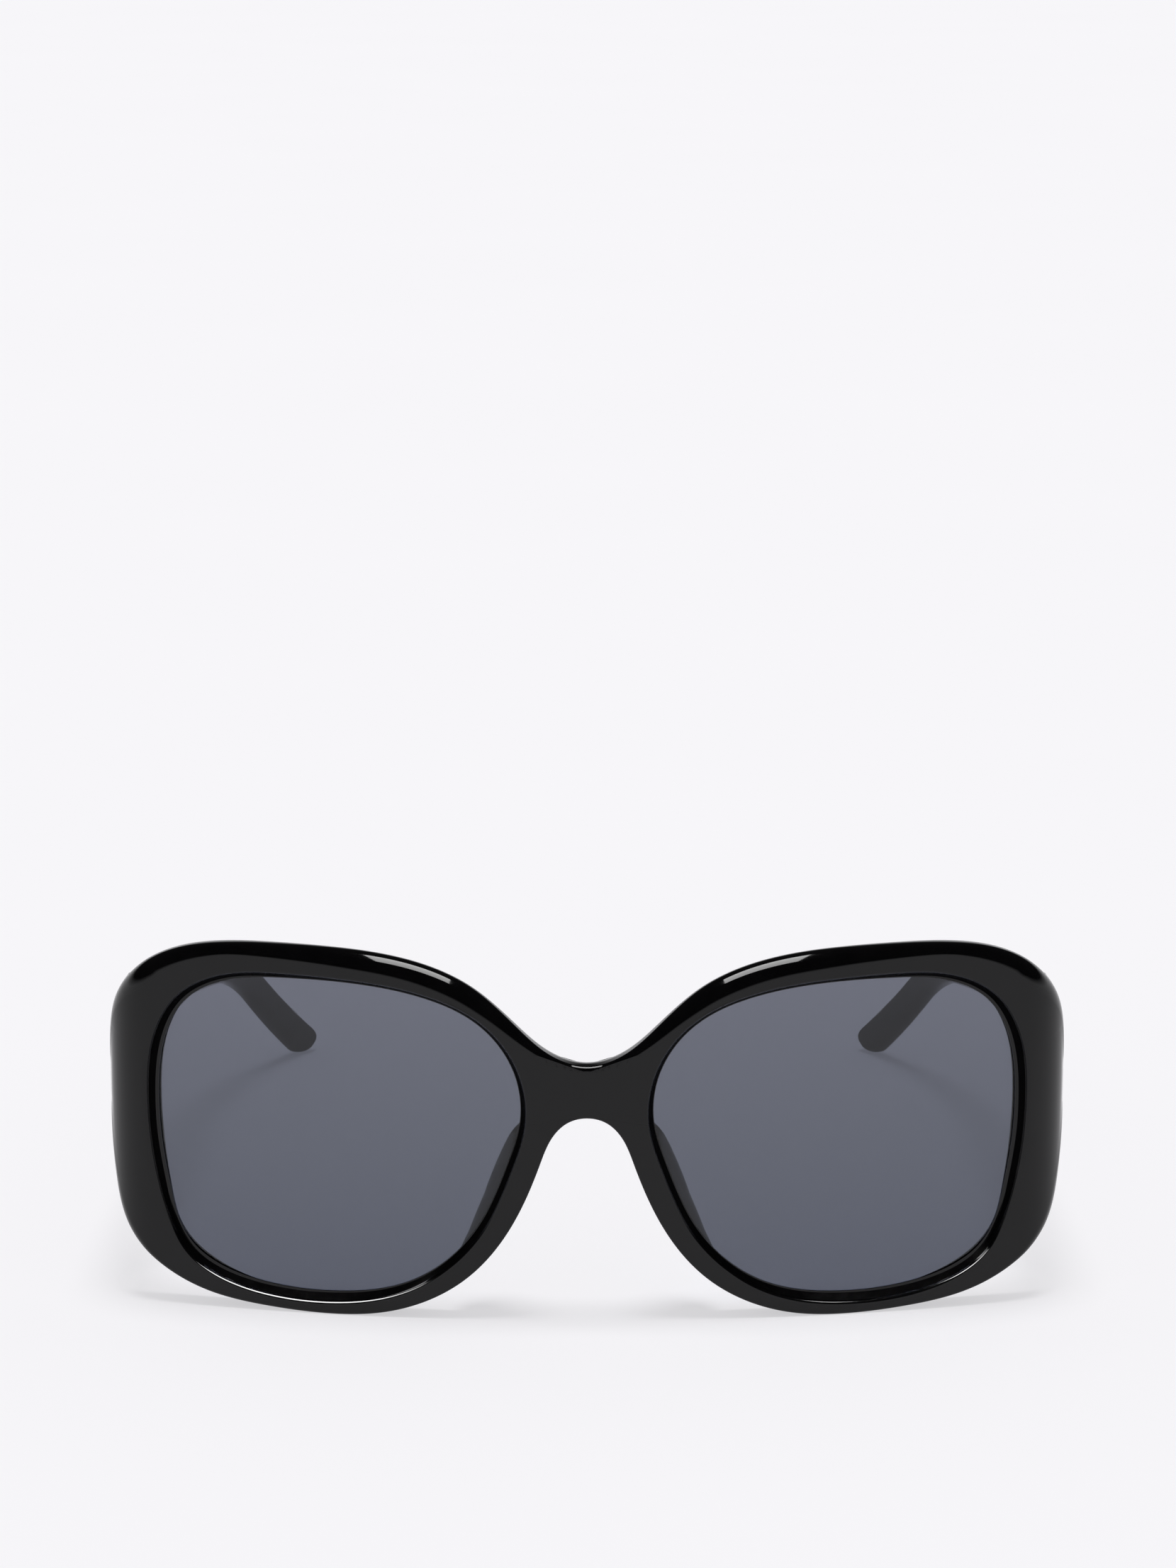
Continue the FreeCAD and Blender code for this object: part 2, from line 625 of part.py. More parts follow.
left_hinge_screw = turned_screw(
    "left_hinge_screw", sized("pin_radius"), sized("pin_head_radius"),
    (BARREL + " / 2", BARREL_HEIGHT / 2), sized("pin_head_height"),
    (BARREL + " / 2 + sizes.pin_end", BARREL_HEIGHT / 2 + size("pin_end")),
)
left_hinge_screw.Placement = AT_PIVOT

HEAD_INWARD = FreeCAD.Rotation(V(0, 1, 0), -90)


def fixing_screws(name, length_name, way):
    """The two screws that hold a hinge plate to the plastic, heads on the inner face."""
    upper = turned_screw(
        name + "_upper", sized("fixing_radius"), sized("fixing_head_radius"), ("0", 0.0),
        sized("fixing_head_height"),
        ("sizes.plate_thickness + sizes.fixing_length", size("plate_thickness") + size("fixing_length")),
    )
    seat = PIVOT + V(PLATE_INSET, way * fixing_place(length_name), size("fixing_spacing") / 2)
    upper.Placement = MIDDLE * FreeCAD.Placement(seat, HEAD_INWARD)
    lower = doc.addObject("Part::Mirroring", name + "_lower")
    lower.Source = upper
    lower.Normal = Z_AXIS
    bind(lower, Base__z="sizes.rim_bottom + sizes.opening_height / 2 + sizes.hinge_height")
    pair = doc.addObject("Part::Compound", name)
    pair.Links = [upper, lower]
    return pair


left_front_hinge_screws = fixing_screws("left_front_hinge_screws", "front_plate", -1)
left_temple_hinge_screws = fixing_screws("left_temple_hinge_screws", "temple_plate", 1)


def hinge_recess(name, length_name, way):
    """What the plastic loses to a hinge leaf: plate pocket, room for the barrel, screw holes."""
    pocket = doc.addObject("Part::Box", name + "_pocket")
    depth = 2.0
    start = PIVOT.y if way > 0 else PIVOT.y - size(length_name) - size("plate_play")
    corner = V(TEMPLE_IN - depth, start, PIVOT.z - BARREL_HEIGHT / 2 - size("plate_play"))
    pocket.Placement = MIDDLE * FreeCAD.Placement(corner, FreeCAD.Rotation())
    bind(pocket, Length="sizes.plate_thickness + %g" % depth, Height=BARREL + " + 2 * sizes.plate_play")
    bind(pocket, Width="sizes.%s + sizes.plate_play" % length_name)
    room = doc.addObject("Part::Cylinder", name + "_room")
    bind(room, Radius="sizes.knuckle_radius + sizes.knuckle_room")
    bind(room, Height=BARREL + " + 2 * (sizes.pin_head_height + sizes.knuckle_room)")
    below_barrel = BARREL_HEIGHT / 2 + size("pin_head_height") + size("knuckle_room")
    room.Placement = AT_PIVOT * FreeCAD.Placement(V(0, 0, -below_barrel), FreeCAD.Rotation())
    shapes = [pocket, room]
    for sign, place in ((1, "upper"), (-1, "lower")):
        hole = doc.addObject("Part::Cylinder", "%s_%s_hole" % (name, place))
        bind(hole, Radius="sizes.fixing_radius + sizes.fixing_play")
        bind(hole, Height="sizes.plate_thickness + sizes.fixing_length + sizes.fixing_play")
        seat = PIVOT + V(PLATE_INSET, way * fixing_place(length_name), sign * size("fixing_spacing") / 2)
        hole.Placement = MIDDLE * FreeCAD.Placement(seat, FreeCAD.Rotation(V(0, 1, 0), 90))
        shapes.append(hole)
    recess = doc.addObject("Part::MultiFuse", name)
    recess.Shapes = shapes
    return recess


# Front: one piece of plastic with the lens grooves and the hinge recesses cut in.
left_recess = hinge_recess("front_recess", "front_plate", -1)
front_cuts = doc.addObject("Part::MultiFuse", "front_cuts")
front_cuts.Shapes = [
    left_groove, mirrored("right_groove", left_groove),
    left_recess, mirrored("right_recess", left_recess),
]
front_frame = combined("Part::Cut", "front_frame", front_rounded, front_cuts)
doc.recompute()


def on_bar(inset):
    """Point of the butt that lies a given depth below the bar's top edge."""
    return TEMPLE_TOP + below(SLOPE, inset) + turned(SLOPE, inset * math.tan(math.radians(SLOPE)))


def bend_point(angle, inset):
    return BEND_MIDDLE - below(angle, size("ear_radius") - inset)


def bar_edges(top, bottom, run):
    """Top and bottom edges of a bar that follows the ear bend, between two depths below the top."""
    halfway = (SLOPE + DROP) / 2
    upper = [on_bar(top), bend_point(SLOPE, top), bend_point(DROP, top)]
    lower = [on_bar(bottom), bend_point(SLOPE, bottom), bend_point(DROP, bottom)]
    upper_end = upper[2] + turned(DROP, run)
    lower_end = lower[2] + turned(DROP, run)
    over = [
        line(upper[0], upper[1]),
        arc(upper[1], bend_point(halfway, top), upper[2]),
        line(upper[2], upper_end),
    ]
    under = [line(lower_end, lower[2]), arc(lower[2], bend_point(halfway, bottom), lower[1])]
    return over, under, upper_end, lower_end, lower


def temple_side():
    over, under, upper_end, lower_end, lower = bar_edges(0.0, BAR, TIP_RUN)
    cap = arc(upper_end, TIP_MIDDLE + turned(DROP, BAR / 2), lower_end)
    flare = size("temple_flare")
    flare_end = TEMPLE_TOP + below(SLOPE, BAR) + turned(SLOPE, flare)
    foot = V(0, BUTT, JOINT_BOTTOM)
    sweep = Part.BezierCurve()
    sweep.setPoles([flare_end, flare_end - turned(SLOPE, 0.5 * flare), foot + V(0, 0.38 * flare, 0), foot])
    edges = over + [cap] + under + [line(lower[1], flare_end), sweep.toShape(), line(foot, TEMPLE_TOP)]
    return Part.Wire(Part.__sortEdges__(edges))


def core_side(margin):
    half = size("core_height") / 2 + margin
    run = TIP_RUN + BAR / 2 - size("core_tip") + margin
    over, under, upper_end, lower_end, lower = bar_edges(BAR / 2 - half, BAR / 2 + half, run)
    start = on_bar(BAR / 2 - half)
    edges = over + [line(upper_end, lower_end)] + under
    edges += [line(lower[1], lower[0]), line(lower[0], start)]
    return Part.Wire(Part.__sortEdges__(edges))


def temple_plan(inset, thickness):
    """The temple seen from above: a leaning bar that curls toward the head, below the table."""
    lean = math.radians(size("temple_lean"))
    along = V(-math.sin(lean), math.cos(lean), 0)
    inward = V(-math.cos(lean), -math.sin(lean), 0)
    start = V(TEMPLE_OUT, BUTT, -TOP)
    centre = start + along * size("curl_start") + inward * size("curl_radius")
    end_turn = math.asin((DEPTH + 1 - centre.y) / size("curl_radius"))

    def curl(angle, depth):
        reach = size("curl_radius") - depth
        return centre + V(reach * math.cos(angle), reach * math.sin(angle), 0)

    def side(depth):
        first = start + inward * depth - along * size("temple_thickness")
        bend = (curl(lean, depth), curl((lean + end_turn) / 2, depth), curl(end_turn, depth))
        return first, bend

    outer, outer_bend = side(inset)
    inner, inner_bend = side(inset + thickness)
    edges = [
        line(outer, outer_bend[0]), arc(*outer_bend), line(outer_bend[2], inner_bend[2]),
        arc(*inner_bend), line(inner_bend[0], inner), line(inner, outer),
    ]
    return Part.Wire(Part.__sortEdges__(edges))


def temple_piece(name, side_wire, plan_wire):
    """Solid that shows one outline from the side and another from above."""
    side_block = extrusion(name + "_side", feature(name + "_side_outline", side_wire), V(1, 0, 0), 2 * SIDE)
    plan_block = extrusion(name + "_plan", feature(name + "_plan_outline", plan_wire), Z_AXIS, 3 * TOP)
    return combined("Part::Common", name, side_block, plan_block)


# Temple: a plastic bar with a metal core, cut away for its hinge plate.
temple_bar = temple_piece("temple_bar", temple_side(), temple_plan(0.0, size("temple_thickness")))
doc.recompute()


def along_temple(edge):
    """True for the long edges, which leave the butt face sharp against the front."""
    points = [edge.valueAt(edge.FirstParameter), edge_middle(edge), edge.valueAt(edge.LastParameter)]
    at_butt = all(abs(p.y + DEPTH / 2 - BUTT) < 0.01 for p in points)
    across = abs(points[0].z - points[2].z) < 0.01 and abs(points[0].y - points[2].y) < 0.6
    return not at_butt and not (across and edge.Length < 1.5 * size("temple_thickness"))


round_temple = size("temple_round")
temple_rounded = doc.addObject("Part::Fillet", "temple_rounded")
temple_rounded.Base = temple_bar
long_edges = edges_where(temple_bar.Shape, along_temple)
temple_rounded.Edges = [(n, round_temple, round_temple) for n in long_edges]
doc.recompute()


# Metal core, and the channel it is pushed into from the joint end.
core_inset = (size("temple_thickness") - size("core_thickness")) / 2
core_plan = temple_plan(core_inset, size("core_thickness"))
left_temple_core = temple_piece("left_temple_core", core_side(0.0), core_plan)
play = size("core_play")
channel_plan = temple_plan(core_inset - play, size("core_thickness") + 2 * play)
core_channel = temple_piece("core_channel", core_side(play), channel_plan)
temple_cuts = doc.addObject("Part::MultiFuse", "temple_cuts")
temple_cuts.Shapes = [core_channel, hinge_recess("temple_recess", "temple_plate", 1)]
left_temple = combined("Part::Cut", "left_temple", temple_rounded, temple_cuts)


# Nose pad: a rounded fin cemented to the back of the rim, spread to the slope of the nose.
def nose_side(wire, height):
    """Where an outline of the front crosses a height on the nose side of the left lens."""
    level = line(V(0, 0, height), V(LENS_X, 0, height))
    level.Placement = MIDDLE
    flat = [V(v.Point.x, 0, 0) for v in wire.Shape.section(level).Vertexes]
    return max(p.x for p in flat)


def opening_nose(height):
    """Nose edge of the opening at a height, read from the outline's own curve."""
    curve = doc.getObject("opening_outline").Shape.Edges[0]
    span = curve.LastParameter - curve.FirstParameter
    points = [curve.valueAt(curve.FirstParameter + span * n / 400) for n in range(400)]
    nose = [p for p in points if p.x < LENS_X]
    return min(nose, key=lambda p: abs(p.z - height)).x


def pad_body(name):
    body = doc.addObject("PartDesign::Body", name)
    profile = sketch_on(body, "YZ_Plane", name + "_profile")
    root = size("pad_root")
    half = size("pad_length") / 2
    reach = size("pad_depth") + root
    radius = (half ** 2 + reach ** 2) / (2 * reach)
    turn = math.asin(half / radius) if reach <= radius else math.pi - math.asin(half / radius)
    circle_part = Part.Circle(V(size("pad_depth") - radius, 0, 0), Z_AXIS, radius)
    profile.addGeometry(Part.ArcOfCircle(circle_part, -turn, turn))
    profile.addGeometry(Part.LineSegment(V(-root, half, 0), V(-root, -half, 0)))
    profile.addConstraint(Sketcher.Constraint("Coincident", 0, 2, 1, 1))
    profile.addConstraint(Sketcher.Constraint("Coincident", 1, 2, 0, 1))
    profile.addConstraint(Sketcher.Constraint("Vertical", 1))
    profile.addConstraint(Sketcher.Constraint("PointOnObject", 0, 3, -1))
    held(profile, "Y", 1, 1, 1, "sizes.pad_length / 2", half)
    held(profile, "X", 1, 1, -1, "sizes.pad_root", root)
    crown = profile.addGeometry(Part.Point(V(size("pad_depth"), 0, 0)), True)
    profile.addConstraint(Sketcher.Constraint("PointOnObject", crown, 1, 0))
    profile.addConstraint(Sketcher.Constraint("PointOnObject", crown, 1, -1))
    held(profile, "X", crown, 1, 1, "sizes.pad_depth", size("pad_depth"))
    pad = body.newObject("PartDesign::Pad", name + "_fin")
    pad.Profile = profile
    pad.SideType = "Symmetric"
    bind(pad, Length="sizes.pad_thickness")
    doc.recompute()
    rounded = body.newObject("PartDesign::Fillet", name + "_rounded")
    rounded.Base = (pad, [""])
    rounded.UseAllEdges = True
    bind(rounded, Radius="sizes.pad_round")
    body.Tip = rounded
    return body


pad_x = (nose_side(doc.getObject("rim_outline"), size("pad_height")) + opening_nose(size("pad_height"))) / 2
pad_y = R - math.sqrt((R - size("front_thickness")) ** 2 - pad_x ** 2)
pad_turn = FreeCAD.Rotation(V(0, 1, 0), -size("pad_lean")) * FreeCAD.Rotation(Z_AXIS, -size("pad_splay"))
pad_blank = pad_body("pad_blank")
pad_blank.Placement = MIDDLE * FreeCAD.Placement(V(pad_x, pad_y, size("pad_height")), pad_turn)
# The pad's foot is cut to the curve of the front's back, so that it lies flat on the rim.
behind_front = doc.addObject("Part::Cylinder", "behind_front")
behind_front.Height = 3 * TOP
behind_front.Placement = MIDDLE * FreeCAD.Placement(V(0, R, -TOP), FreeCAD.Rotation())
bind(behind_front, Radius="sizes.front_radius - sizes.front_thickness")
left_nose_pad = combined("Part::Common", "left_nose_pad", pad_blank, behind_front)

LEFT = (
    left_lens, left_nose_pad, left_front_hinge, left_front_hinge_screws, left_hinge_screw,
    left_temple, left_temple_hinge, left_temple_hinge_screws, left_temple_core,
)
pieces = {"front_frame": front_frame}
for item in LEFT:
    pieces[item.Name] = item
    name = item.Name.replace("left_", "right_")
    pieces[name] = mirrored(name, item)
doc.recompute()

for item in doc.Objects:
    if "Invalid" in item.State or "Error" in item.State:
        raise RuntimeError("%s did not build" % item.Name)
for name, item in pieces.items():
    item.Label = name
    if item.Shape.isNull() or not item.Shape.isValid() or not item.Shape.Solids:
        raise RuntimeError("%s has no valid solid" % name)

os.makedirs("parts", exist_ok=True)
for name, item in pieces.items():
    item.Shape.exportStep("parts/%s.step" % name)
    box = item.Shape.BoundBox
    solids = len(item.Shape.Solids)
    print("%-26s %d solids %8.1f mm3  x %.1f..%.1f  y %.1f..%.1f  z %.1f..%.1f" % (
        name, solids, item.Shape.Volume, box.XMin, box.XMax, box.YMin, box.YMax, box.ZMin, box.ZMax))
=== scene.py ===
# Oversized sunglasses in polished black acetate with smoke grey lenses, dressed for the studio.
import math

import bmesh
import bpy
import numpy as np
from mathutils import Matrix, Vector


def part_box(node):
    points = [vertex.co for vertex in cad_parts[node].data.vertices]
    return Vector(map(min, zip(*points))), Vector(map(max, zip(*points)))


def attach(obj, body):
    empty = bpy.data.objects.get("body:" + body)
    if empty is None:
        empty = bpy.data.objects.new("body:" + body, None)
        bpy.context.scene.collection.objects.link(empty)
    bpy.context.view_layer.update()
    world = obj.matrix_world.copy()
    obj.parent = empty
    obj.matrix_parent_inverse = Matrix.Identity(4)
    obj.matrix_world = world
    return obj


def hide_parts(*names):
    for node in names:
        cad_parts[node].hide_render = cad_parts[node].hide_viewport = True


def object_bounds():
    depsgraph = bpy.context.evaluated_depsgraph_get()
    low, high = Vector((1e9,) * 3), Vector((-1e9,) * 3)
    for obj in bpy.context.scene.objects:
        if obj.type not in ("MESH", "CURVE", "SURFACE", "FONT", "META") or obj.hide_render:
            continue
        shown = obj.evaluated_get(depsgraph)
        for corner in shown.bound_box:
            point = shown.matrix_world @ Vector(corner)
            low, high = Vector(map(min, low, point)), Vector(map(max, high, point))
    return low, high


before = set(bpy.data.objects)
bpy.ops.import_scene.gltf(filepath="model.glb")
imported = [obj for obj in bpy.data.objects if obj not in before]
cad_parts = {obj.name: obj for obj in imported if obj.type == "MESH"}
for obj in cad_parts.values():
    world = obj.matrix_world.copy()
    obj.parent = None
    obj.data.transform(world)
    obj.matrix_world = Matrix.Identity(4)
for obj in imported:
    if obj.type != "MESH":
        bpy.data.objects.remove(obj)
cad_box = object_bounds()

# Front
# The front is one piece of black acetate sheet, cut out, bowed round the brow and polished.
# Its outer edges are rolled over at the brow and stay crisp at the nose, and its two ends turn
# back to meet the temples. The lenses sit in a groove behind a narrow bevel.
MM = 0.001
front_y = cad_box[0][1]
opening_width, opening_height = 57.3 * MM, 50.6 * MM
bridge_gap = 21.0 * MM
rim_top, rim_bottom, rim_nose = 5.2 * MM, 2.8 * MM, 4.2 * MM
bridge_drop, bridge_height = 17.8 * MM, 8.2 * MM
bow_radius = 250 * MM
front_thickness = 4.6 * MM
lens_setback, lens_thickness = 1.9 * MM, 2.0 * MM
lens_bite, lens_play = 0.8 * MM, 0.05 * MM
end_roll, end_turn = 9.5 * MM, math.radians(89)
end_corner = 2.4 * MM
end_back, end_depth = 18.5 * MM, 23.0 * MM
temple_thickness, temple_proud = 4.2 * MM, 0.65 * MM
joint_low, joint_high = 18.5 * MM, 43.5 * MM

# Nose corner first, then over the brow, down the cheek and back: shares of half the opening.
opening_shape = (
    (-1.00, 0.116), (-0.951, 0.485), (-0.768, 0.746), (-0.491, 0.899), (-0.11, 0.981),
    (0.299, 1.00), (0.626, 0.96), (0.842, 0.82), (0.957, 0.59), (1.00, 0.199), (0.96, -0.32),
    (0.846, -0.682), (0.575, -0.898), (0.072, -1.00), (-0.354, -0.928), (-0.626, -0.745),
    (-0.834, -0.442), (-0.946, -0.117),
)
# The rim's outer edge the same way, as shares of its reach to each side of the lens centre.
rim_shape = (
    (-0.859, 0.612), (-0.657, 0.795), (-0.36, 0.931), (-0.015, 0.986), (0.255, 1.00),
    (0.506, 0.991), (0.711, 0.935), (0.859, 0.828), (0.96, 0.662), (0.997, 0.402), (1.00, 0.063),
    (0.978, -0.327), (0.92, -0.587), (0.775, -0.781), (0.562, -0.915), (0.308, -0.976),
    (0.036, -1.00), (-0.208, -0.981), (-0.42, -0.908), (-0.614, -0.773), (-0.763, -0.591),
    (-0.886, -0.35), (-0.972, -0.104),
)
# Shares of half the bridge gap, with shares of the bridge's height above it and of the fall to the
# rim's nose corner below it.
bridge_brow = (0.53, 0.20)
bridge_arch = ((0.49, 0.383), (0.26, 0.085))

wrap = math.asin((bridge_gap + opening_width) / 2 / bow_radius)
lens_x = bridge_gap / 2 + opening_width / 2 * math.cos(wrap)
lens_y = bow_radius - math.sqrt(bow_radius ** 2 - lens_x ** 2)
lens_z = rim_bottom + opening_height / 2
bow_u = -lens_x * math.cos(wrap) + (bow_radius - lens_y) * math.sin(wrap)
bow_d = lens_x * math.sin(wrap) + (bow_radius - lens_y) * math.cos(wrap)
side_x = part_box("front_frame")[1][0]
wall_x = side_x + temple_proud - temple_thickness
bridge_top = lens_z + opening_height / 2 + rim_top - bridge_drop
bridge_low = bridge_top - bridge_height


def smooth_loop(points, samples):
    """Closed smooth line through given points."""
    points = np.asarray(points, float)
    count = len(points)
    chords = np.linalg.norm(np.roll(points, -1, 0) - points, axis=1)
    steps = (np.roll(points, -1, 0) - points) / chords[:, None]
    system = np.zeros((count, count))
    for i in range(count):
        system[i, i - 1] = chords[i - 1]
        system[i, i] = 2 * (chords[i - 1] + chords[i])
        system[i, (i + 1) % count] = chords[i]
    bend = np.linalg.solve(system, 6 * (steps - np.roll(steps, 1, 0)))
    ends = np.concatenate([[0], np.cumsum(chords)])
    place = np.linspace(0, ends[-1], samples, endpoint=False)
    span = np.searchsorted(ends, place, side="right") - 1
    after = (span + 1) % count
    chord = chords[span][:, None]
    near = (ends[span + 1] - place)[:, None] / chord
    far = 1 - near
    line = near * points[span] + far * points[after]
    curve = (near ** 3 - near) * bend[span] + (far ** 3 - far) * bend[after]
    return line + curve * chord ** 2 / 6


def rim_point(share):
    """Place on the rim's outer edge, seen from the front."""
    reach = lens_x - bridge_gap / 2 + rim_nose if share[0] < 0 else side_x - lens_x
    rise = opening_height / 2 + rim_top if share[1] > 0 else lens_z
    return lens_x + share[0] * reach, lens_z + share[1] * rise


half_gap = bridge_gap / 2
half_outline = [(0, bridge_top)]
half_outline += [(bridge_brow[0] * half_gap, bridge_top + bridge_brow[1] * bridge_height)]
half_outline += [rim_point(share) for share in rim_shape]
arch_fall = bridge_low - half_outline[-1][1]
half_outline += [(across * half_gap, bridge_low - down * arch_fall) for across, down in bridge_arch]
half_outline += [(0, bridge_low)]
whole_outline = half_outline + [(-x, z) for x, z in half_outline[-2:0:-1]]
opening_points = [(u * opening_width / 2, v * opening_height / 2) for u, v in opening_shape]


def through_lens(u, v, inset):
    """Place behind the bowed face, for a point of the lens plane and a depth into the sheet."""
    depth = bow_d - np.sqrt((bow_radius - inset) ** 2 - (u - bow_u) ** 2)
    x = lens_x + u * math.cos(wrap) - depth * math.sin(wrap)
    y = lens_y + u * math.sin(wrap) + depth * math.cos(wrap)
    return np.stack([x, y, lens_z + v], -1)


def opening_at(angles, samples=6000):
    """Points of the opening and their outward directions, at angles round the lens centre."""
    loop = smooth_loop(opening_points, samples)
    heading = np.roll(loop, -1, 0) - np.roll(loop, 1, 0)
    outward = np.stack([-heading[:, 1], heading[:, 0]], -1)
    outward = outward / np.linalg.norm(heading, axis=1)[:, None]
    turn = np.degrees(np.arctan2(loop[:, 1], loop[:, 0])) % 360
    order = np.argsort(turn)
    values = np.concatenate([loop, outward], 1)[order]
    columns = [np.interp(angles % 360, turn[order], column, period=360) for column in values.T]
    return np.stack(columns[:2], -1), np.stack(columns[2:], -1)


# The bow runs into a tight roll at each end of the front.
roll_reach = side_x - end_roll * math.sin(end_turn)
roll_start = roll_reach * bow_radius / (bow_radius - end_roll)
roll_y = bow_radius - math.sqrt((bow_radius - end_roll) ** 2 - roll_reach ** 2)


def face_y(x):
    """Depth of the bowed face, at a distance from the middle of the front."""
    bow = bow_radius - np.sqrt(bow_radius ** 2 - np.minimum(x, roll_start) ** 2)
    past = np.maximum(x, roll_start) - roll_reach
    roll = roll_y - np.sqrt(np.maximum(end_roll ** 2 - past ** 2, 0))
    return np.where(x < roll_start, bow, roll)


def face_slope(x):
    """How steeply the face falls back there."""
    bow = x / np.sqrt(bow_radius ** 2 - x ** 2)
    past = np.maximum(x, roll_start) - roll_reach
    roll = past / np.sqrt(np.maximum(end_roll ** 2 - past ** 2, 1e-12))
    return np.where(x < roll_start, bow, roll)


corner_x = wall_x - end_corner
corner_y = bow_radius - math.sqrt((bow_radius - front_thickness - end_corner) ** 2 - corner_x ** 2)
corner_start = (corner_x * (bow_radius - front_thickness)
                / (bow_radius - front_thickness - end_corner))


def back_y(x):
    """Depth of the back of the sheet."""
    return bow_radius - np.sqrt((bow_radius - front_thickness) ** 2 - x ** 2)


def inside_end_y(x):
    """The back of the front where it runs through a rounded corner into the inside of an end."""
    return corner_y - math.sqrt(max(end_corner ** 2 - (x - corner_x) ** 2, 0))


def rounded(first, corner, last, sharpness, steps):
    """Points of a rounded corner between the points where the rounding starts and ends."""
    share = np.linspace(0, 1, steps)
    parts = [(1 - share) ** 2, 2 * sharpness[..., None] * share * (1 - share), share ** 2]
    total = parts[0] + parts[1] + parts[2]
    poles = (first, corner, last)
    return sum((p / total)[..., None] * q[..., None, :] for p, q in zip(parts, poles))


# Stations along the outer edge, from the middle of the bridge over the brow and back below.
trace_points = 8000
trace = smooth_loop(whole_outline, trace_points)[:trace_points // 2 + 1]
travel = np.concatenate([[0], np.cumsum(np.linalg.norm(np.diff(trace, axis=0), axis=1))])
outside = trace[:, 0] > lens_x + opening_width / 2
block_from, block_to = np.interp((-joint_high, -joint_low), -trace[outside, 1], travel[outside])
turns_back = travel[trace[:, 0] > wall_x]
sweep_from, sweep_to = turns_back[0], turns_back[-1]
brow_stations, sweep_stations, joint_stations, cheek_stations = 142, 30, 36, 202
runs = ((0, sweep_from, brow_stations), (sweep_from, block_from, sweep_stations),
        (block_from, block_to, joint_stations), (block_to, sweep_to, sweep_stations),
        (sweep_to, travel[-1], cheek_stations))
end_runs = (1, 2, 3)
stops = [np.linspace(start, end, count) for start, end, count in runs]
# Closer stations where the end of the front sweeps down into the joint with the temple.
quarter = np.sin(np.linspace(0, math.pi / 2, sweep_stations))
stops[1] = sweep_from + (block_from - sweep_from) * quarter
stops[3] = sweep_to + (block_to - sweep_to) * quarter[::-1]
stops = np.concatenate(stops)
edge = np.stack([np.interp(stops, travel, trace[:, i]) for i in (0, 1)], -1)
turning = [np.gradient(trace[:, i], travel) for i in (0, 1)]
heading = np.stack([np.interp(stops, travel, part) for part in turning], -1)
outward = np.stack([-heading[:, 1], heading[:, 0]], -1)
outward /= np.linalg.norm(outward, axis=1)[:, None]
outward[0], outward[-1] = (0, 1), (0, -1)
edge[0, 0] = edge[-1, 0] = 0
reaches_end = np.concatenate([np.full(count, number in end_runs)
                              for number, (_, _, count) in enumerate(runs)])

# Angles round the lens centre that join the outer edge to the opening, spread out at the bridge.
seen = np.arctan2(edge[:, 1] - lens_z, (edge[:, 0] - lens_x) / math.cos(wrap))
seen = np.degrees(np.unwrap(seen))
spread = ((-186.6, -187), (-140, -140), (110, 110), (162.3, 148))
angles = np.interp(seen, *np.transpose(spread))
across_bridge = 12
bridge_angles = np.linspace(angles[-1], angles[0] - 360, across_bridge + 2)[1:-1]
angles = np.concatenate([angles, bridge_angles])
opening, opening_out = opening_at(angles)

# Rounding of the front and back outer edges in millimetres, by the angle from the lens centre.
front_rounding = (
    (-187, 0.35), (-165, 0.3), (-120, 0.35), (-90, 0.45), (-45, 0.5), (-34, 0.8), (-24, 3.5),
    (-12, 7.0), (18, 7.0), (28, 7.5), (36, 5.0), (46, 2.9), (60, 1.8), (78, 2.4), (97, 3.0),
    (122, 3.1), (134, 2.9), (147, 2.0), (156, 1.1), (163, 0.7),
)
back_rounding = ((-187, 0.5), (-60, 0.4), (20, 0.4), (50, 0.5), (130, 0.5), (150, 0.7), (163, 0.8))
# The top of the rim is crowned: its back rounding runs far forward there.
crown_length = (
    (-187, 0.5), (-60, 0.4), (20, 0.4), (40, 1.8), (60, 2.4), (97, 1.4), (130, 1.3), (147, 1.8),
    (163, 2.6),
)


def by_angle(table, at, passes=60):
    """Values of a table of angles, eased over its corners."""
    fine = np.arange(-200, 181, 0.5)
    values = np.interp(fine, *np.transpose(table))
    for _ in range(passes):
        values[1:-1] = (values[:-2] + 2 * values[1:-1] + values[2:]) / 4
    return np.interp(at, fine, values) * MM


roll_front = by_angle(front_rounding, seen)
roll_back = by_angle(back_rounding, seen)
crown = by_angle(crown_length, seen)
end_ease, end_ease_share = 0.3 * MM, 0.4
at_end = np.minimum(end_ease, end_ease_share * np.maximum(edge[:, 0] - wall_x, 0))
roll_back, crown = (np.where(reaches_end, at_end, value) for value in (roll_back, crown))

# Bevel round the opening: how far the plastic laps over the lens, the width from there to the face,
# and the narrow ledge beside the lens. The face ends in a short steep step.
lens_lap = (
    (-200, 0.25), (-180, 0.5), (-160, 0.75), (-140, 0.6), (-120, 0.4), (-102, 0.45), (-90, 0.5),
    (-70, 0.4), (-60, 0.2), (-50, -0.1), (-40, -0.25), (-30, -0.05), (-20, 0.25), (-10, 0.15),
    (0, 0), (130, 0), (160, 0.25),
)
bevel_width = (
    (-200, 1.1), (-180, 1.25), (-150, 1.2), (-130, 1.0), (-115, 1.1), (-100, 1.28), (-90, 1.4),
    (-70, 1.45), (-60, 1.45), (-50, 1.4), (-40, 1.25), (-30, 0.95), (-20, 1.5), (-10, 1.63),
    (0, 1.6), (25, 1.75), (50, 1.4), (90, 0.95), (130, 0.95), (160, 1.1),
)
ledge_width = (
    (-200, 0.1), (-135, 0.12), (-90, 0.25), (-45, 0.5), (0, 0.6), (40, 0.5), (70, 0.15), (180, 0.1),
)
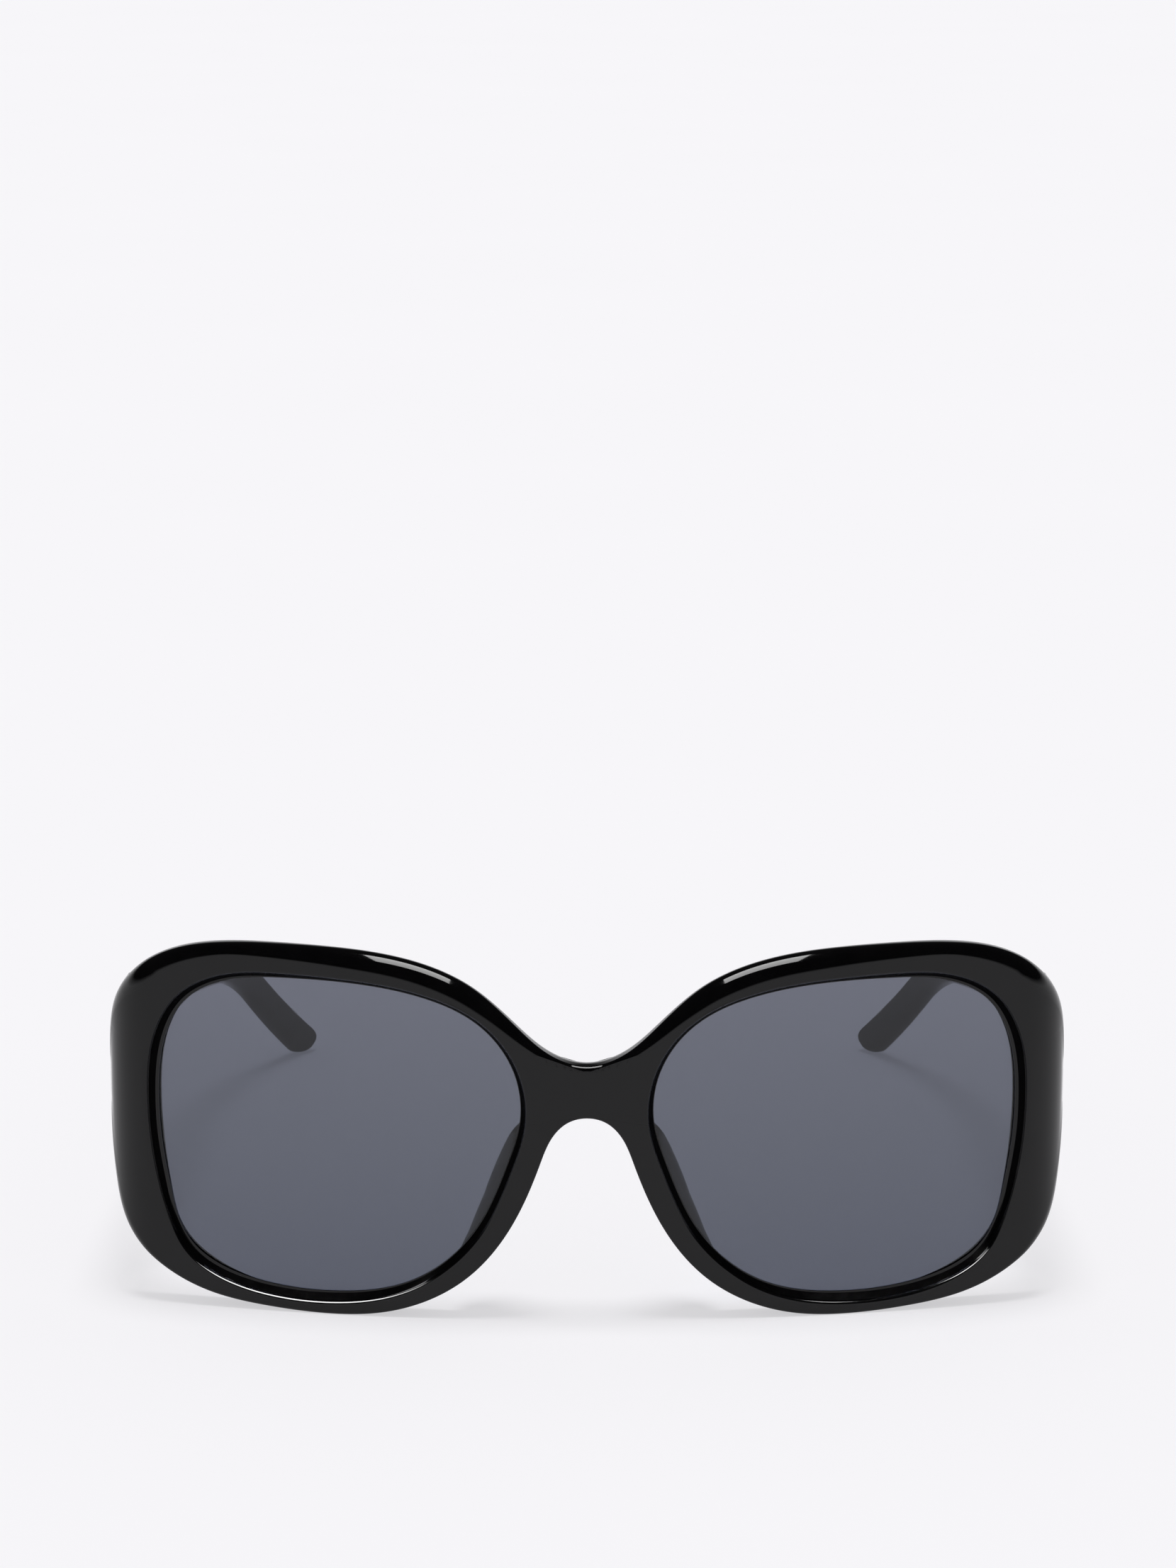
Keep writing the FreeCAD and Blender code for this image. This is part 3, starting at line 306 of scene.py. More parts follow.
edge_ease = ((-200, 0.2), (-125, 0.25), (-100, 0.42), (-65, 0.42), (-40, 0.28), (180, 0.2))
bevel_depth = 1.6 * MM
step_width, step_depth = 0.25 * MM, 0.55 * MM
round_lens = (angles + 200) % 360 - 200
lap = by_angle(lens_lap, round_lens)
bevel = by_angle(bevel_width, round_lens) - lap
ledge = by_angle(ledge_width, round_lens) - lap
crisp_edge = by_angle(edge_ease, round_lens)


def inner(margin, inset):
    """Places beside the opening, at a margin from its edge and a depth into the sheet."""
    points = opening + np.reshape(margin, (-1, 1)) * opening_out
    return through_lens(points[:, 0], points[:, 1], inset)


def inner_corner(first, corner, last, sharpness, steps=4):
    """Rounded corner that runs round the opening."""
    places = [inner(*place) for place in (first, corner, last)]
    return rounded(*places, np.full(len(opening), sharpness), steps)


def on_edge(out, y):
    """Places on a section square to the outer edge."""
    return np.stack([edge[:, 0] + out * outward[:, 0], y, edge[:, 1] + out * outward[:, 1]], -1)


groove = (lens_setback - lens_play, lens_setback + lens_thickness + lens_play)
groove_reach = lens_bite + lens_play
lip, lip_drop = 0.25 * MM, 1.0 * MM
# How sharp a corner is: a quarter circle, and the tighter edge where the bevel meets the face.
quarter_round, bevel_round = 0.707, 0.84
# The lip behind the lens is cut lower at the bottom, where the lens is pressed in.
towards_bottom = np.maximum(-np.sin(np.radians(round_lens)), 0)
back_lip = np.minimum(lip_drop * towards_bottom - lap, lens_bite - lip)
lens_side = [inner_corner((lip + back_lip, front_thickness), (back_lip, front_thickness),
                          (back_lip, front_thickness - lip), quarter_round)]
for margin, inset in ((back_lip, groove[1]), (groove_reach, groove[1]), (groove_reach, groove[0]),
                      (-lap, groove[0]), (-lap, bevel_depth), (ledge, bevel_depth),
                      (bevel - step_width, step_depth)):
    lens_side.append(inner(margin, inset)[:, None])
bevel_row = sum(part.shape[1] for part in lens_side) - 2
eased = crisp_edge / math.hypot(step_width, step_depth)
lens_side.append(inner_corner((bevel - eased * step_width, eased * step_depth), (bevel, 0),
                              (bevel + crisp_edge, 0), bevel_round, steps=7))
lens_side = np.concatenate(lens_side, 1)

# Outer edge: the rolled front corner, the wall, and the eased back corner. No rounding takes up
# the whole wall.
rounding_limit, crown_limit = 0.8, 0.9
slope = face_slope(edge[:, 0]) * outward[:, 0]
lean = np.sqrt(1 + slope ** 2)
half_corner = np.arccos(np.clip(-slope / lean, -1, 1)) / 2
into_joint = np.interp(stops, (sweep_from, block_from, block_to, sweep_to), (0, 1, 1, 0))
swept_y = end_depth - (end_depth - back_y(wall_x)) * np.sqrt(1 - into_joint ** 2)
end_y = np.where(reaches_end, swept_y, back_y(edge[:, 0]))
wall = end_y - face_y(edge[:, 0])
tangent = np.minimum(roll_front / np.tan(half_corner), rounding_limit * wall)
crown = np.minimum(crown, crown_limit * (wall - tangent))
near = on_edge(-tangent / lean, np.zeros(len(edge)))
near[:, 1] = face_y(near[:, 0])
corner = on_edge(0, face_y(edge[:, 0]))
far = on_edge(0, face_y(edge[:, 0]) + tangent)
front_corner = rounded(near, corner, far, np.sin(half_corner), steps=12)
along_back = np.where(reaches_end[:, None], (1, 0), outward) * roll_back[:, None]
back_end = np.stack([edge[:, 0] - along_back[:, 0], end_y, edge[:, 1] - along_back[:, 1]], -1)
back_end[:, 1] = np.where(reaches_end, end_y, back_y(back_end[:, 0]))
back_corner = rounded(on_edge(0, end_y - crown), on_edge(0, end_y), back_end,
                      np.full(len(edge), quarter_round), steps=8)

# Face and back, as rows between the opening and the outer edge. The stations at the bridge end on
# the middle line.
face_shares, back_shares = (0.1, 0.22, 0.36, 0.5, 0.62, 0.72, 0.8, 0.87, 0.93, 1.0), (0.35, 0.7)
inside_turns = (75, 50, 30)
middle = np.linspace(0, 1, across_bridge + 2)[1:-1, None]
face_end = np.concatenate([near, near[-1] + (near[0] - near[-1]) * middle])
face_rows = []
for share in face_shares:
    row = lens_side[:, -1] + (face_end - lens_side[:, -1]) * share
    row[:, 1] = face_y(row[:, 0])
    face_rows.append(row)
face = np.stack(face_rows, 1)

back_start = np.concatenate([back_end, back_end[-1] + (back_end[0] - back_end[-1]) * middle])
ends_here = np.concatenate([reaches_end, np.zeros(across_bridge, bool)])
block_y = np.concatenate([end_y, np.zeros(across_bridge)])
back_rows = []
inside_corner = corner_x + end_corner * np.sin(np.radians(inside_turns))
steps = [(wall_x, end_depth), (wall_x, end_back), (wall_x, corner_y)]
steps += [(x, inside_end_y(x)) for x in (*inside_corner, corner_start)]
for x, y in steps:
    row = back_start.copy()
    row[:, 0] = np.minimum(row[:, 0], x)
    row[:, 1] = np.where(ends_here, np.minimum(y, block_y), back_y(row[:, 0]))
    back_rows.append(row)
flat_start = back_rows[-1]
for share in back_shares:
    row = flat_start + (lens_side[:, 0] - flat_start) * share
    row[:, 1] = back_y(row[:, 0])
    back_rows.append(row)
back = np.stack(back_rows, 1)


def welded(name, points, quads, mirror=False, second=()):
    """Piece with a closed skin and its seams joined; quads in second take its second material."""
    seam, speck = 2e-6, 1e-6
    mesh = bmesh.new()
    for side in (1, -1) if mirror else (1,):
        corners = [mesh.verts.new((side * x, y + front_y, z)) for x, y, z in points]
        for number, quad in enumerate(quads):
            mesh.faces.new([corners[i] for i in quad]).material_index = int(number in second)
    bmesh.ops.remove_doubles(mesh, verts=mesh.verts, dist=seam)
    bmesh.ops.dissolve_degenerate(mesh, edges=mesh.edges, dist=speck)
    bmesh.ops.recalc_face_normals(mesh, faces=mesh.faces)
    data = bpy.data.meshes.new(name)
    mesh.to_mesh(data)
    mesh.free()
    piece = bpy.data.objects.new(name, data)
    bpy.context.scene.collection.objects.link(piece)
    return piece


def polish(piece, sharp_angle=38):
    """Smooth shading that keeps flats flat beside small roundings."""
    piece.data.shade_smooth()
    piece.data.set_sharp_from_angle(angle=math.radians(sharp_angle))
    weighted = piece.modifiers.new("flats", "WEIGHTED_NORMAL")
    weighted.keep_sharp = True


def noise(material, scale, detail=3.0, stretch=(1, 1, 1)):
    """Noise in the object's own space; scale counts its grains to a metre."""
    tree = material.node_tree
    coords = tree.nodes.new("ShaderNodeTexCoord")
    mapping = tree.nodes.new("ShaderNodeMapping")
    mapping.inputs["Scale"].default_value = stretch
    texture = tree.nodes.new("ShaderNodeTexNoise")
    texture.inputs["Scale"].default_value = scale
    texture.inputs["Detail"].default_value = detail
    tree.links.new(coords.outputs["Object"], mapping.inputs["Vector"])
    tree.links.new(mapping.outputs["Vector"], texture.inputs["Vector"])
    return texture.outputs["Fac"]


def ramp(material, source, stops):
    """Colours or greys along a value, smoothly joined."""
    node = material.node_tree.nodes.new("ShaderNodeValToRGB")
    elements = node.color_ramp.elements
    for element, (place, colour) in zip(elements, (stops[0], stops[-1])):
        element.position = place
        element.color = (*colour, 1)
    for place, colour in stops[1:-1]:
        elements.new(place).color = (*colour, 1)
    material.node_tree.links.new(source, node.inputs["Fac"])
    return node.outputs["Color"]


def between(material, source, low, high):
    """Two colours, blended over the middle of a noise."""
    return ramp(material, source, ((0.3, low), (0.7, high)))


def bump(material, source, height, strength):
    """Unevenness that only shows in the light, with its height in metres."""
    node = material.node_tree.nodes.new("ShaderNodeBump")
    node.inputs["Distance"].default_value = height
    node.inputs["Strength"].default_value = strength
    material.node_tree.links.new(source, node.inputs["Height"])
    shader = material.node_tree.nodes["Principled BSDF"]
    material.node_tree.links.new(node.outputs["Normal"], shader.inputs["Normal"])


def new_material(name, **sockets):
    """Material with some sockets of its shader set; an underscore stands for a space."""
    material = bpy.data.materials.new(name)
    material.use_nodes = True
    shader = material.node_tree.nodes["Principled BSDF"]
    for socket, value in sockets.items():
        shader.inputs[socket.replace("_", " ")].default_value = value
    return material


def feed(material, source, socket):
    """Leads a colour or a value into a socket of the shader."""
    shader = material.node_tree.nodes["Principled BSDF"]
    material.node_tree.links.new(source, shader.inputs[socket])


def grey(value):
    """A grey, as a colour."""
    return value, value, value


def black_acetate(name, mottle=220, gloss=(0.045, 0.075), shine=1.365):
    """Tumbled acetate: almost black, with a faint cloud of its pressed chips and a waxed polish."""
    deep, cloudy = (0.0009, 0.0009, 0.0011), (0.0019, 0.0018, 0.0021)
    wax_marks, waves, wave_height = 900, 160, 0.00006
    material = new_material(name, IOR=shine)
    cloud = noise(material, mottle, 4.0)
    feed(material, between(material, cloud, deep, cloudy), "Base Color")
    marks = noise(material, wax_marks, 5.0)
    feed(material, between(material, marks, grey(gloss[0]), grey(gloss[1])), "Roughness")
    bump(material, noise(material, waves, 2.0), wave_height, 0.04)
    return material


def dress(piece, material):
    """Gives a piece one material."""
    piece.data.materials.clear()
    piece.data.materials.append(material)


# One closed section for each station; the bridge stations have no outer edge.
outer = np.concatenate([front_corner[:, 1:], back_corner], 1)
no_edge = np.repeat(face[len(edge):, -1:], outer.shape[1], 1)
outer = np.concatenate([outer, no_edge])
sections = np.concatenate([lens_side, face, outer, back], 1)
stations, around = sections.shape[:2]
edge_rows = range(lens_side.shape[1] + face.shape[1] - 1, around - back.shape[1])
quads = []
cut_quads = set()
for station in range(stations):
    following = (station + 1) % stations
    on_outline = station < len(edge) - 1
    for row in range(around):
        if row in edge_rows and not on_outline:
            continue
        next_row = (row + 1) % around
        if row == bevel_row:
            cut_quads.add(len(quads))
        quads.append([station * around + row, following * around + row,
                      following * around + next_row, station * around + next_row])
front = welded("front", sections.reshape(-1, 3), quads, True, cut_quads)
front.data.materials.append(black_acetate("front_acetate"))
# The bevel is milled after the polish and stays duller than the face.
front.data.materials.append(black_acetate("bevel_acetate", gloss=(0.2, 0.3), shine=1.06))

# Recesses for the hinge leaves: a pocket for the plate and round room for the barrel.
butt_y = 23.2 * MM
hinge_rise, barrel_inset = 2.9 * MM, 0.5 * MM
hinge_z = lens_z + hinge_rise
hinge_y = (end_depth + butt_y) / 2
barrel_x = wall_x - barrel_inset
barrel_half, barrel_room = 3.95 * MM, 1.7 * MM
pin_room, pocket_reach = 1.0 * MM, 2 * MM
plate_depth, plate_play = 0.9 * MM, 0.05 * MM
front_plate, temple_plate = 5.6 * MM, 10.0 * MM


def recess_cutters(side, plate_from, plate_to):
    """Solids that stand where a hinge leaf is let into the plastic."""
    shapes = []
    pocket = bmesh.new()
    bmesh.ops.create_cube(pocket, size=1)
    for vertex in pocket.verts:
        x = wall_x + (plate_depth + plate_play if vertex.co.x > 0 else -pocket_reach)
        y = plate_to if vertex.co.y > 0 else plate_from
        z = hinge_z + math.copysign(barrel_half + plate_play, vertex.co.z)
        vertex.co = (side * x, y + front_y, z)
    shapes.append(pocket)
    room = bmesh.new()
    bmesh.ops.create_cone(room, cap_ends=True, segments=48, radius1=barrel_room,
                          radius2=barrel_room, depth=2 * (barrel_half + pin_room))
    barrel = (side * barrel_x, hinge_y + front_y, hinge_z)
    bmesh.ops.translate(room, verts=room.verts, vec=barrel)
    shapes.append(room)
    cutters = []
    for shape in shapes:
        bmesh.ops.recalc_face_normals(shape, faces=shape.faces)
        data = bpy.data.meshes.new("recess")
        shape.to_mesh(data)
        shape.free()
        cutter = bpy.data.objects.new("recess", data)
        bpy.context.scene.collection.objects.link(cutter)
        cutters.append(cutter)
    return cutters


def carve(piece, cutters):
    """Cuts the solids out of a piece and leaves the result as its mesh."""
    for cutter in cutters:
        cut = piece.modifiers.new("recess", "BOOLEAN")
        cut.operation = "DIFFERENCE"
        cut.solver = "EXACT"
        cut.object = cutter
    depsgraph = bpy.context.evaluated_depsgraph_get()
    carved = bpy.data.meshes.new_from_object(piece.evaluated_get(depsgraph))
    piece.modifiers.clear()
    piece.data = carved
    for cutter in cutters:
        bpy.data.objects.remove(cutter)


for side in (1, -1):
    carve(front, recess_cutters(side, hinge_y - front_plate - plate_play, hinge_y))
polish(front)
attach(front, "front")
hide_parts("front_frame")

# Lenses
# Each lens is a moulded sheet of grey tinted plastic, bowed like the front, with its tint a little
# darker towards the bottom. Its edge is snapped into the groove of the rim.
hands = ((1, "left"), (-1, "right"))
lens_edge_ease = 0.25 * MM
lens_stations = 144
lens_rings = (0.12, 0.3, 0.48, 0.65, 0.8, 0.92)
lens_angles = np.linspace(180, -180, lens_stations, endpoint=False)
lens_outline, lens_out = opening_at(lens_angles)
lens_front, lens_back = lens_setback, lens_setback + lens_thickness
lens_profile = [(share, 0, lens_front) for share in lens_rings]
lens_profile += [(1, lens_bite - lens_edge_ease, lens_front),
                 (1, lens_bite, lens_front + lens_edge_ease),
                 (1, lens_bite, lens_back - lens_edge_ease),
                 (1, lens_bite - lens_edge_ease, lens_back)]
lens_profile += [(share, 0, lens_back) for share in reversed(lens_rings)]
lens_rows = []
for share, margin, inset in lens_profile:
    points = lens_outline * share + lens_out * margin
    lens_rows.append(through_lens(points[:, 0], points[:, 1], np.array(inset)))


def skin(name, rows, side):
    """Piece through rows of points, closed at both ends; side -1 mirrors it."""
    count = len(rows[0])
    last = (len(rows) - 1) * count
    quads = []
    for start in range(0, last, count):
        for i in range(count):
            j = (i + 1) % count
            quads.append([start + i, start + j, start + count + j, start + count + i])
    quads += [list(range(count)), list(range(last, last + count))]
    return welded(name, np.reshape(rows, (-1, 3)) * (side, 1, 1), quads)


def smoke_lens(name):
    """Clear plastic with a grey dye under a hard shiny coat; the tint is darker towards the bottom.
    """
    material = new_material(name, Transmission_Weight=1.0, IOR=1.42)
    tree = material.node_tree
    coords = tree.nodes.new("ShaderNodeTexCoord")
    split = tree.nodes.new("ShaderNodeSeparateXYZ")
    height = tree.nodes.new("ShaderNodeMapRange")
    height.inputs["From Min"].default_value = rim_bottom
    height.inputs["From Max"].default_value = rim_bottom + opening_height
    tree.links.new(coords.outputs["Object"], split.inputs["Vector"])
    tree.links.new(split.outputs["Z"], height.inputs["Value"])
    tint = ((0.0, (0.094, 0.104, 0.137)), (0.5, (0.117, 0.127, 0.160)),
            (1.0, (0.140, 0.149, 0.186)))
    clear, hazy, haze = 0.0, 0.004, 500
    feed(material, ramp(material, height.outputs["Result"], tint), "Base Color")
    feed(material, between(material, noise(material, haze), grey(clear), grey(hazy)), "Roughness")
    return material


lens_material = smoke_lens("smoke_lens")
for side, hand in hands:
    lens = skin(hand + "_lens_sheet", lens_rows, side)
    polish(lens, sharp_angle=30)
    dress(lens, lens_material)
    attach(lens, "front")
    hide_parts(hand + "_lens")

# Nose pads
# Each pad is a fin of the same acetate, cemented to the back of the rim beside the nose. It follows
# the rim from the bridge down, leans away from the nose and is rounded and polished with the front.
pad_acetate = black_acetate("pad_acetate", mottle=300, gloss=(0.07, 0.12))
pad_heights = np.array((8.2, 12.0, 17.6, 24.4, 28.0, 31.4)) * MM
pad_feet = np.array((19.2, 16.1, 12.7, 10.0, 8.8, 7.6)) * MM
pad_ridges = np.array((20.2, 18.0, 15.5, 13.1, 11.9, 10.3)) * MM
pad_depth, pad_half = 5.6 * MM, 1.7 * MM
pad_stations, pad_around, pad_end = 33, 17, 88
# How fast the lean and the width fade to the ends of the pad, and how full its ridge is.
lean_fade, width_fade, ridge_fullness = 0.5, 0.4, 0.75
pad_rows = []
for share in np.sin(np.radians(np.linspace(-pad_end, pad_end, pad_stations))):
    height = np.interp(share, (-1, 1), (pad_heights[0], pad_heights[-1]))
    foot = np.interp(height, pad_heights, pad_feet)
    full = math.sqrt(1 - share ** 2)
    lean = (np.interp(height, pad_heights, pad_ridges) - foot) * full ** lean_fade
    row = []
    for turn in np.radians(np.linspace(-90, 90, pad_around)):
        rise = max(math.cos(turn), 0) ** ridge_fullness
        x = foot + lean * rise + pad_half * full ** width_fade * math.sin(turn)
        row.append((x, back_y(x) + pad_depth * full * rise, height))
    pad_rows.append(row)
for side, hand in hands:
    pad = skin(hand + "_pad", pad_rows, side)
    polish(pad)
    dress(pad, pad_acetate)
    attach(pad, "front")
    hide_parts(hand + "_nose_pad")

# Hinges
# Each hinge is two leaves of nickel silver, each let into the plastic and held there by two small
# steel screws. Their knuckles mesh round a slotted hinge screw.
def drawn_metal(name, tone, grain, stretch, gloss):
    """Metal with a fine drawn grain, tumbled bright; stretch draws the grain out."""
    line_shade, line_depth = 0.82, 0.00002
    material = new_material(name, Metallic=1.0)
    lines = noise(material, grain, 6.0, stretch)
    darker = tuple(line_shade * part for part in tone)
    feed(material, between(material, lines, darker, tone), "Base Color")
    feed(material, between(material, lines, grey(gloss[0]), grey(gloss[1])), "Roughness")
    bump(material, lines, line_depth, 0.15)
    return material


leaf_metal = drawn_metal("leaf_nickel_silver", (0.62, 0.61, 0.59), grain=1500,
                         stretch=(1, 0.12, 1), gloss=(0.22, 0.34))
screw_steel = drawn_metal("screw_steel", (0.70, 0.69, 0.67), grain=2500,
                          stretch=(1, 1, 0.2), gloss=(0.16, 0.26))
for _, hand in hands:
    for leaf in ("front_hinge", "temple_hinge"):
        dress(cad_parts[hand + "_" + leaf], leaf_metal)
    for screw in ("front_hinge_screws", "hinge_screw", "temple_hinge_screws"):
        dress(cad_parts[hand + "_" + screw], screw_steel)

# Temples
# Each temple is a bar of black acetate, deep where it meets the front and slim towards the ear,
# where it bends down to a round tip. It is shot with a metal core and rounded on its long edges.
bar_height, flare_length = 6.6 * MM, 32 * MM
tip_height, tip_thickness = 5.0 * MM, 3.0 * MM
butt_thickness = 3.65 * MM
bar_slope, ear_drop = math.radians(9), math.radians(45)
bar_length, ear_radius = 100 * MM, 34 * MM
temple_lean = math.radians(2)
curl_start, curl_radius = 74 * MM, 105 * MM
temple_round = 1.3 * MM
flare_stations, bar_stations, bend_stations, tip_stations = 30, 28, 18, 8
temple_end = cad_box[1][1] - cad_box[0][1]


def down_slope(angle, run):
    """Step back along a line that falls at an angle, seen from the side."""
    return np.array((math.cos(angle), -math.sin(angle))) * run


def below(angle, depth):
    """Step down, square to that line."""
    return np.array((-math.sin(angle), -math.cos(angle))) * depth


temple_top = np.array((butt_y, joint_high))
bend_start = temple_top + down_slope(bar_slope, bar_length)
bend_middle = bend_start + below(bar_slope, ear_radius)
bend_end = bend_middle - below(ear_drop, ear_radius)
tip_half = bar_height / 2
tip_run = (temple_end - tip_half - (bend_end + below(ear_drop, tip_half))[0]) / math.cos(ear_drop)

# The temple from the side, as pairs of a top and a bottom point with the thickness there. The last
# pairs close the round tip. The flare is a smooth sweep, drawn out along the foot and the bar.
foot_pull, bar_pull = 0.38 * flare_length, 0.5 * flare_length
butt_blend = 0.5 * flare_length
flare_end = temple_top + down_slope(bar_slope, flare_length) + below(bar_slope, bar_height)
foot = np.array((butt_y, joint_low))
sweep = (foot, foot + (foot_pull, 0), flare_end - down_slope(bar_slope, bar_pull), flare_end)
pairs = []
for t in np.linspace(0, 1, flare_stations):
    weights = ((1 - t) ** 3, 3 * t * (1 - t) ** 2, 3 * t * t * (1 - t), t ** 3)
    low = sum(weight * pole for weight, pole in zip(weights, sweep))
    thickness = np.interp(flare_length * t, (0, butt_blend), (butt_thickness, temple_thickness))
    pairs.append((temple_top + down_slope(bar_slope, flare_length * t), low, thickness))
slim_from, slim_to = 0.62 * bar_length, bar_length + 0.5 * ear_radius


def slimmed(high, angle, run):
    """Top and bottom points and thickness of the bar, which grows slimmer towards the tip."""
    share = np.interp(run, (slim_from, slim_to), (0, 1))
    top = high + below(angle, share * (bar_height - tip_height))
    low = high + below(angle, bar_height)
    return top, low, temple_thickness + share * (tip_thickness - temple_thickness)


for run in np.linspace(flare_length, bar_length, bar_stations)[1:]:
    pairs.append(slimmed(temple_top + down_slope(bar_slope, run), bar_slope, run))
for angle in np.linspace(bar_slope, ear_drop, bend_stations)[1:]:
    run = bar_length + ear_radius * (angle - bar_slope)
    pairs.append(slimmed(bend_middle - below(angle, ear_radius), angle, run))
for run in np.linspace(0, tip_run, tip_stations)[1:]:
    pairs.append(slimmed(bend_end + down_slope(ear_drop, run), ear_drop, bar_length + ear_radius))
tip_end = (pairs[-1][0] + pairs[-1][1]) / 2
slim_half = tip_height / 2
tip_turns = (15, 30, 44, 56, 66, 74, 81, 86, 89.5)
for turn in np.radians(tip_turns):
    reach = down_slope(ear_drop, slim_half * math.sin(turn))
    half = below(ear_drop, slim_half * math.cos(turn))
    left_over = min(slim_half * (1 - math.sin(turn)), temple_round)
    thinner = temple_round - math.sqrt(temple_round ** 2 - (temple_round - left_over) ** 2)
    pairs.append((tip_end + reach - half, tip_end + reach + half, tip_thickness - 2 * thinner))


def bar_section(height, thickness, corner_points=6):
    """Rounded section of the bar, as offsets across and up from its middle."""
    under_half = 0.49
    ease = min(temple_round, under_half * height, under_half * thickness)
    offsets = []
    for quarter, (across, up) in enumerate(((1, 1), (-1, 1), (-1, -1), (1, -1))):
        for turn in np.radians(np.linspace(0, 90, corner_points) + 90 * quarter):
            offsets.append((across * (thickness / 2 - ease) + ease * math.cos(turn),
                            up * (height / 2 - ease) + ease * math.sin(turn)))
    return np.array(offsets)


outer_start = np.array((side_x + temple_proud, butt_y))
inward = np.array((-math.cos(temple_lean), -math.sin(temple_lean)))
along = np.array((-math.sin(temple_lean), math.cos(temple_lean)))
curl_from = outer_start + along * curl_start
curl_centre = curl_from + inward * curl_radius
middle_radius = curl_radius - temple_thickness / 2
middle_start = outer_start + inward * temple_thickness / 2


def in_plan(y):
    """Middle of the temple seen from above at a distance back, and its outward direction."""
    if y < (curl_centre - inward * middle_radius)[1]:
        return middle_start[0] - (y - middle_start[1]) * math.tan(temple_lean), -inward
    angle = math.asin((y - curl_centre[1]) / middle_radius)
    outwards = np.array((math.cos(angle), math.sin(angle)))
    return curl_centre[0] + middle_radius * math.cos(angle), outwards


bar_rows = []
for high, low, thickness in pairs:
    up = high - low
    height = np.linalg.norm(up)
    row = []
    for across, lift in bar_section(height, thickness):
        y, z = (high + low) / 2 + up / height * lift
        x, outwards = in_plan(y)
        inset = (temple_thickness - thickness) / 2 if y < butt_y + flare_length else 0
        row.append((x - inset + across / outwards[0], y, z))
    bar_rows.append(row)
for side, hand in hands:
    temple = skin(hand + "_temple_bar", bar_rows, side)
    carve(temple, recess_cutters(side, hinge_y, hinge_y + temple_plate + plate_play))
    polish(temple)
    dress(temple, black_acetate(hand + "_temple_acetate"))
    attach(temple, hand + "_temple_arm")
    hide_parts(hand + "_temple")

# Temple cores
# A flat strip of nickel silver is shot into each temple while the plastic is warm. It stiffens the
# bar and lets its end be bent to fit the ear.
core_metal = drawn_metal("core_nickel_silver", (0.55, 0.55, 0.54), grain=1200,
                         stretch=(1, 0.05, 1), gloss=(0.3, 0.45))
for _, hand in hands:
    dress(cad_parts[hand + "_temple_core"], core_metal)

# Floor
# A plain pale table that takes the soft shadow of the glasses. Seen by the camera, in the polish
# or through the lenses it keeps most of its own white, so that the shadow stays light.
bpy.ops.mesh.primitive_plane_add(size=20)
floor = bpy.context.object
floor.name = "floor"
floor_pale = (0.930, 0.922, 0.947)
floor_glow = 0.60
floor_paint = new_material("floor_paint", Roughness=1.0, Specular_IOR_Level=0.0)
tree = floor_paint.node_tree
floor_shades = (0.998, 1.002)
dull, bright = (tuple(shade * part for part in floor_pale) for shade in floor_shades)
tint = between(floor_paint, noise(floor_paint, 6, 2.0), dull, bright)
feed(floor_paint, tint, "Base Color")
glow = tree.nodes.new("ShaderNodeEmission")
tree.links.new(tint, glow.inputs["Color"])
path = tree.nodes.new("ShaderNodeLightPath")
looked_at = path.outputs["Is Camera Ray"]
for ray in ("Is Glossy Ray", "Is Transmission Ray"):
    either = tree.nodes.new("ShaderNodeMath")
    either.operation = "MAXIMUM"
    tree.links.new(looked_at, either.inputs[0])
    tree.links.new(path.outputs[ray], either.inputs[1])
    looked_at = either.outputs["Value"]
share = tree.nodes.new("ShaderNodeMath")
share.operation = "MULTIPLY"
share.inputs[1].default_value = floor_glow
tree.links.new(looked_at, share.inputs[0])
blend = tree.nodes.new("ShaderNodeMixShader")
tree.links.new(share.outputs["Value"], blend.inputs["Fac"])
tree.links.new(tree.nodes["Principled BSDF"].outputs["BSDF"], blend.inputs[1])
tree.links.new(glow.outputs["Emission"], blend.inputs[2])
tree.links.new(blend.outputs["Shader"], tree.nodes["Material Output"].inputs["Surface"])
dress(floor, floor_paint)

# Light
# A pale room lights everything evenly, and a broad lamp overhead casts the shadow. The polish shows
# bright walls up to a little above the horizon, a dark ceiling, a small soft box over the brow and
# two low strips in front.
scene = bpy.context.scene
scene.view_settings.view_transform = "Standard"
room = bpy.data.worlds.new("room")
scene.world = room
room.use_nodes = True
tree = room.node_tree
tree.nodes.clear()
even = tree.nodes.new("ShaderNodeBackground")
even.inputs["Color"].default_value = (0.42, 0.42, 0.42, 1)
coords = tree.nodes.new("ShaderNodeTexCoord")
split = tree.nodes.new("ShaderNodeSeparateXYZ")
wall_bright, ceiling_dark = (0.12, (0.9, 0.9, 0.92)), (0.27, grey(0.02))
walls = ramp(room, split.outputs["Z"], (wall_bright, ceiling_dark))
mirrored = tree.nodes.new("ShaderNodeBackground")
path = tree.nodes.new("ShaderNodeLightPath")
choose = tree.nodes.new("ShaderNodeMixShader")
output = tree.nodes.new("ShaderNodeOutputWorld")
tree.links.new(coords.outputs["Generated"], split.inputs["Vector"])
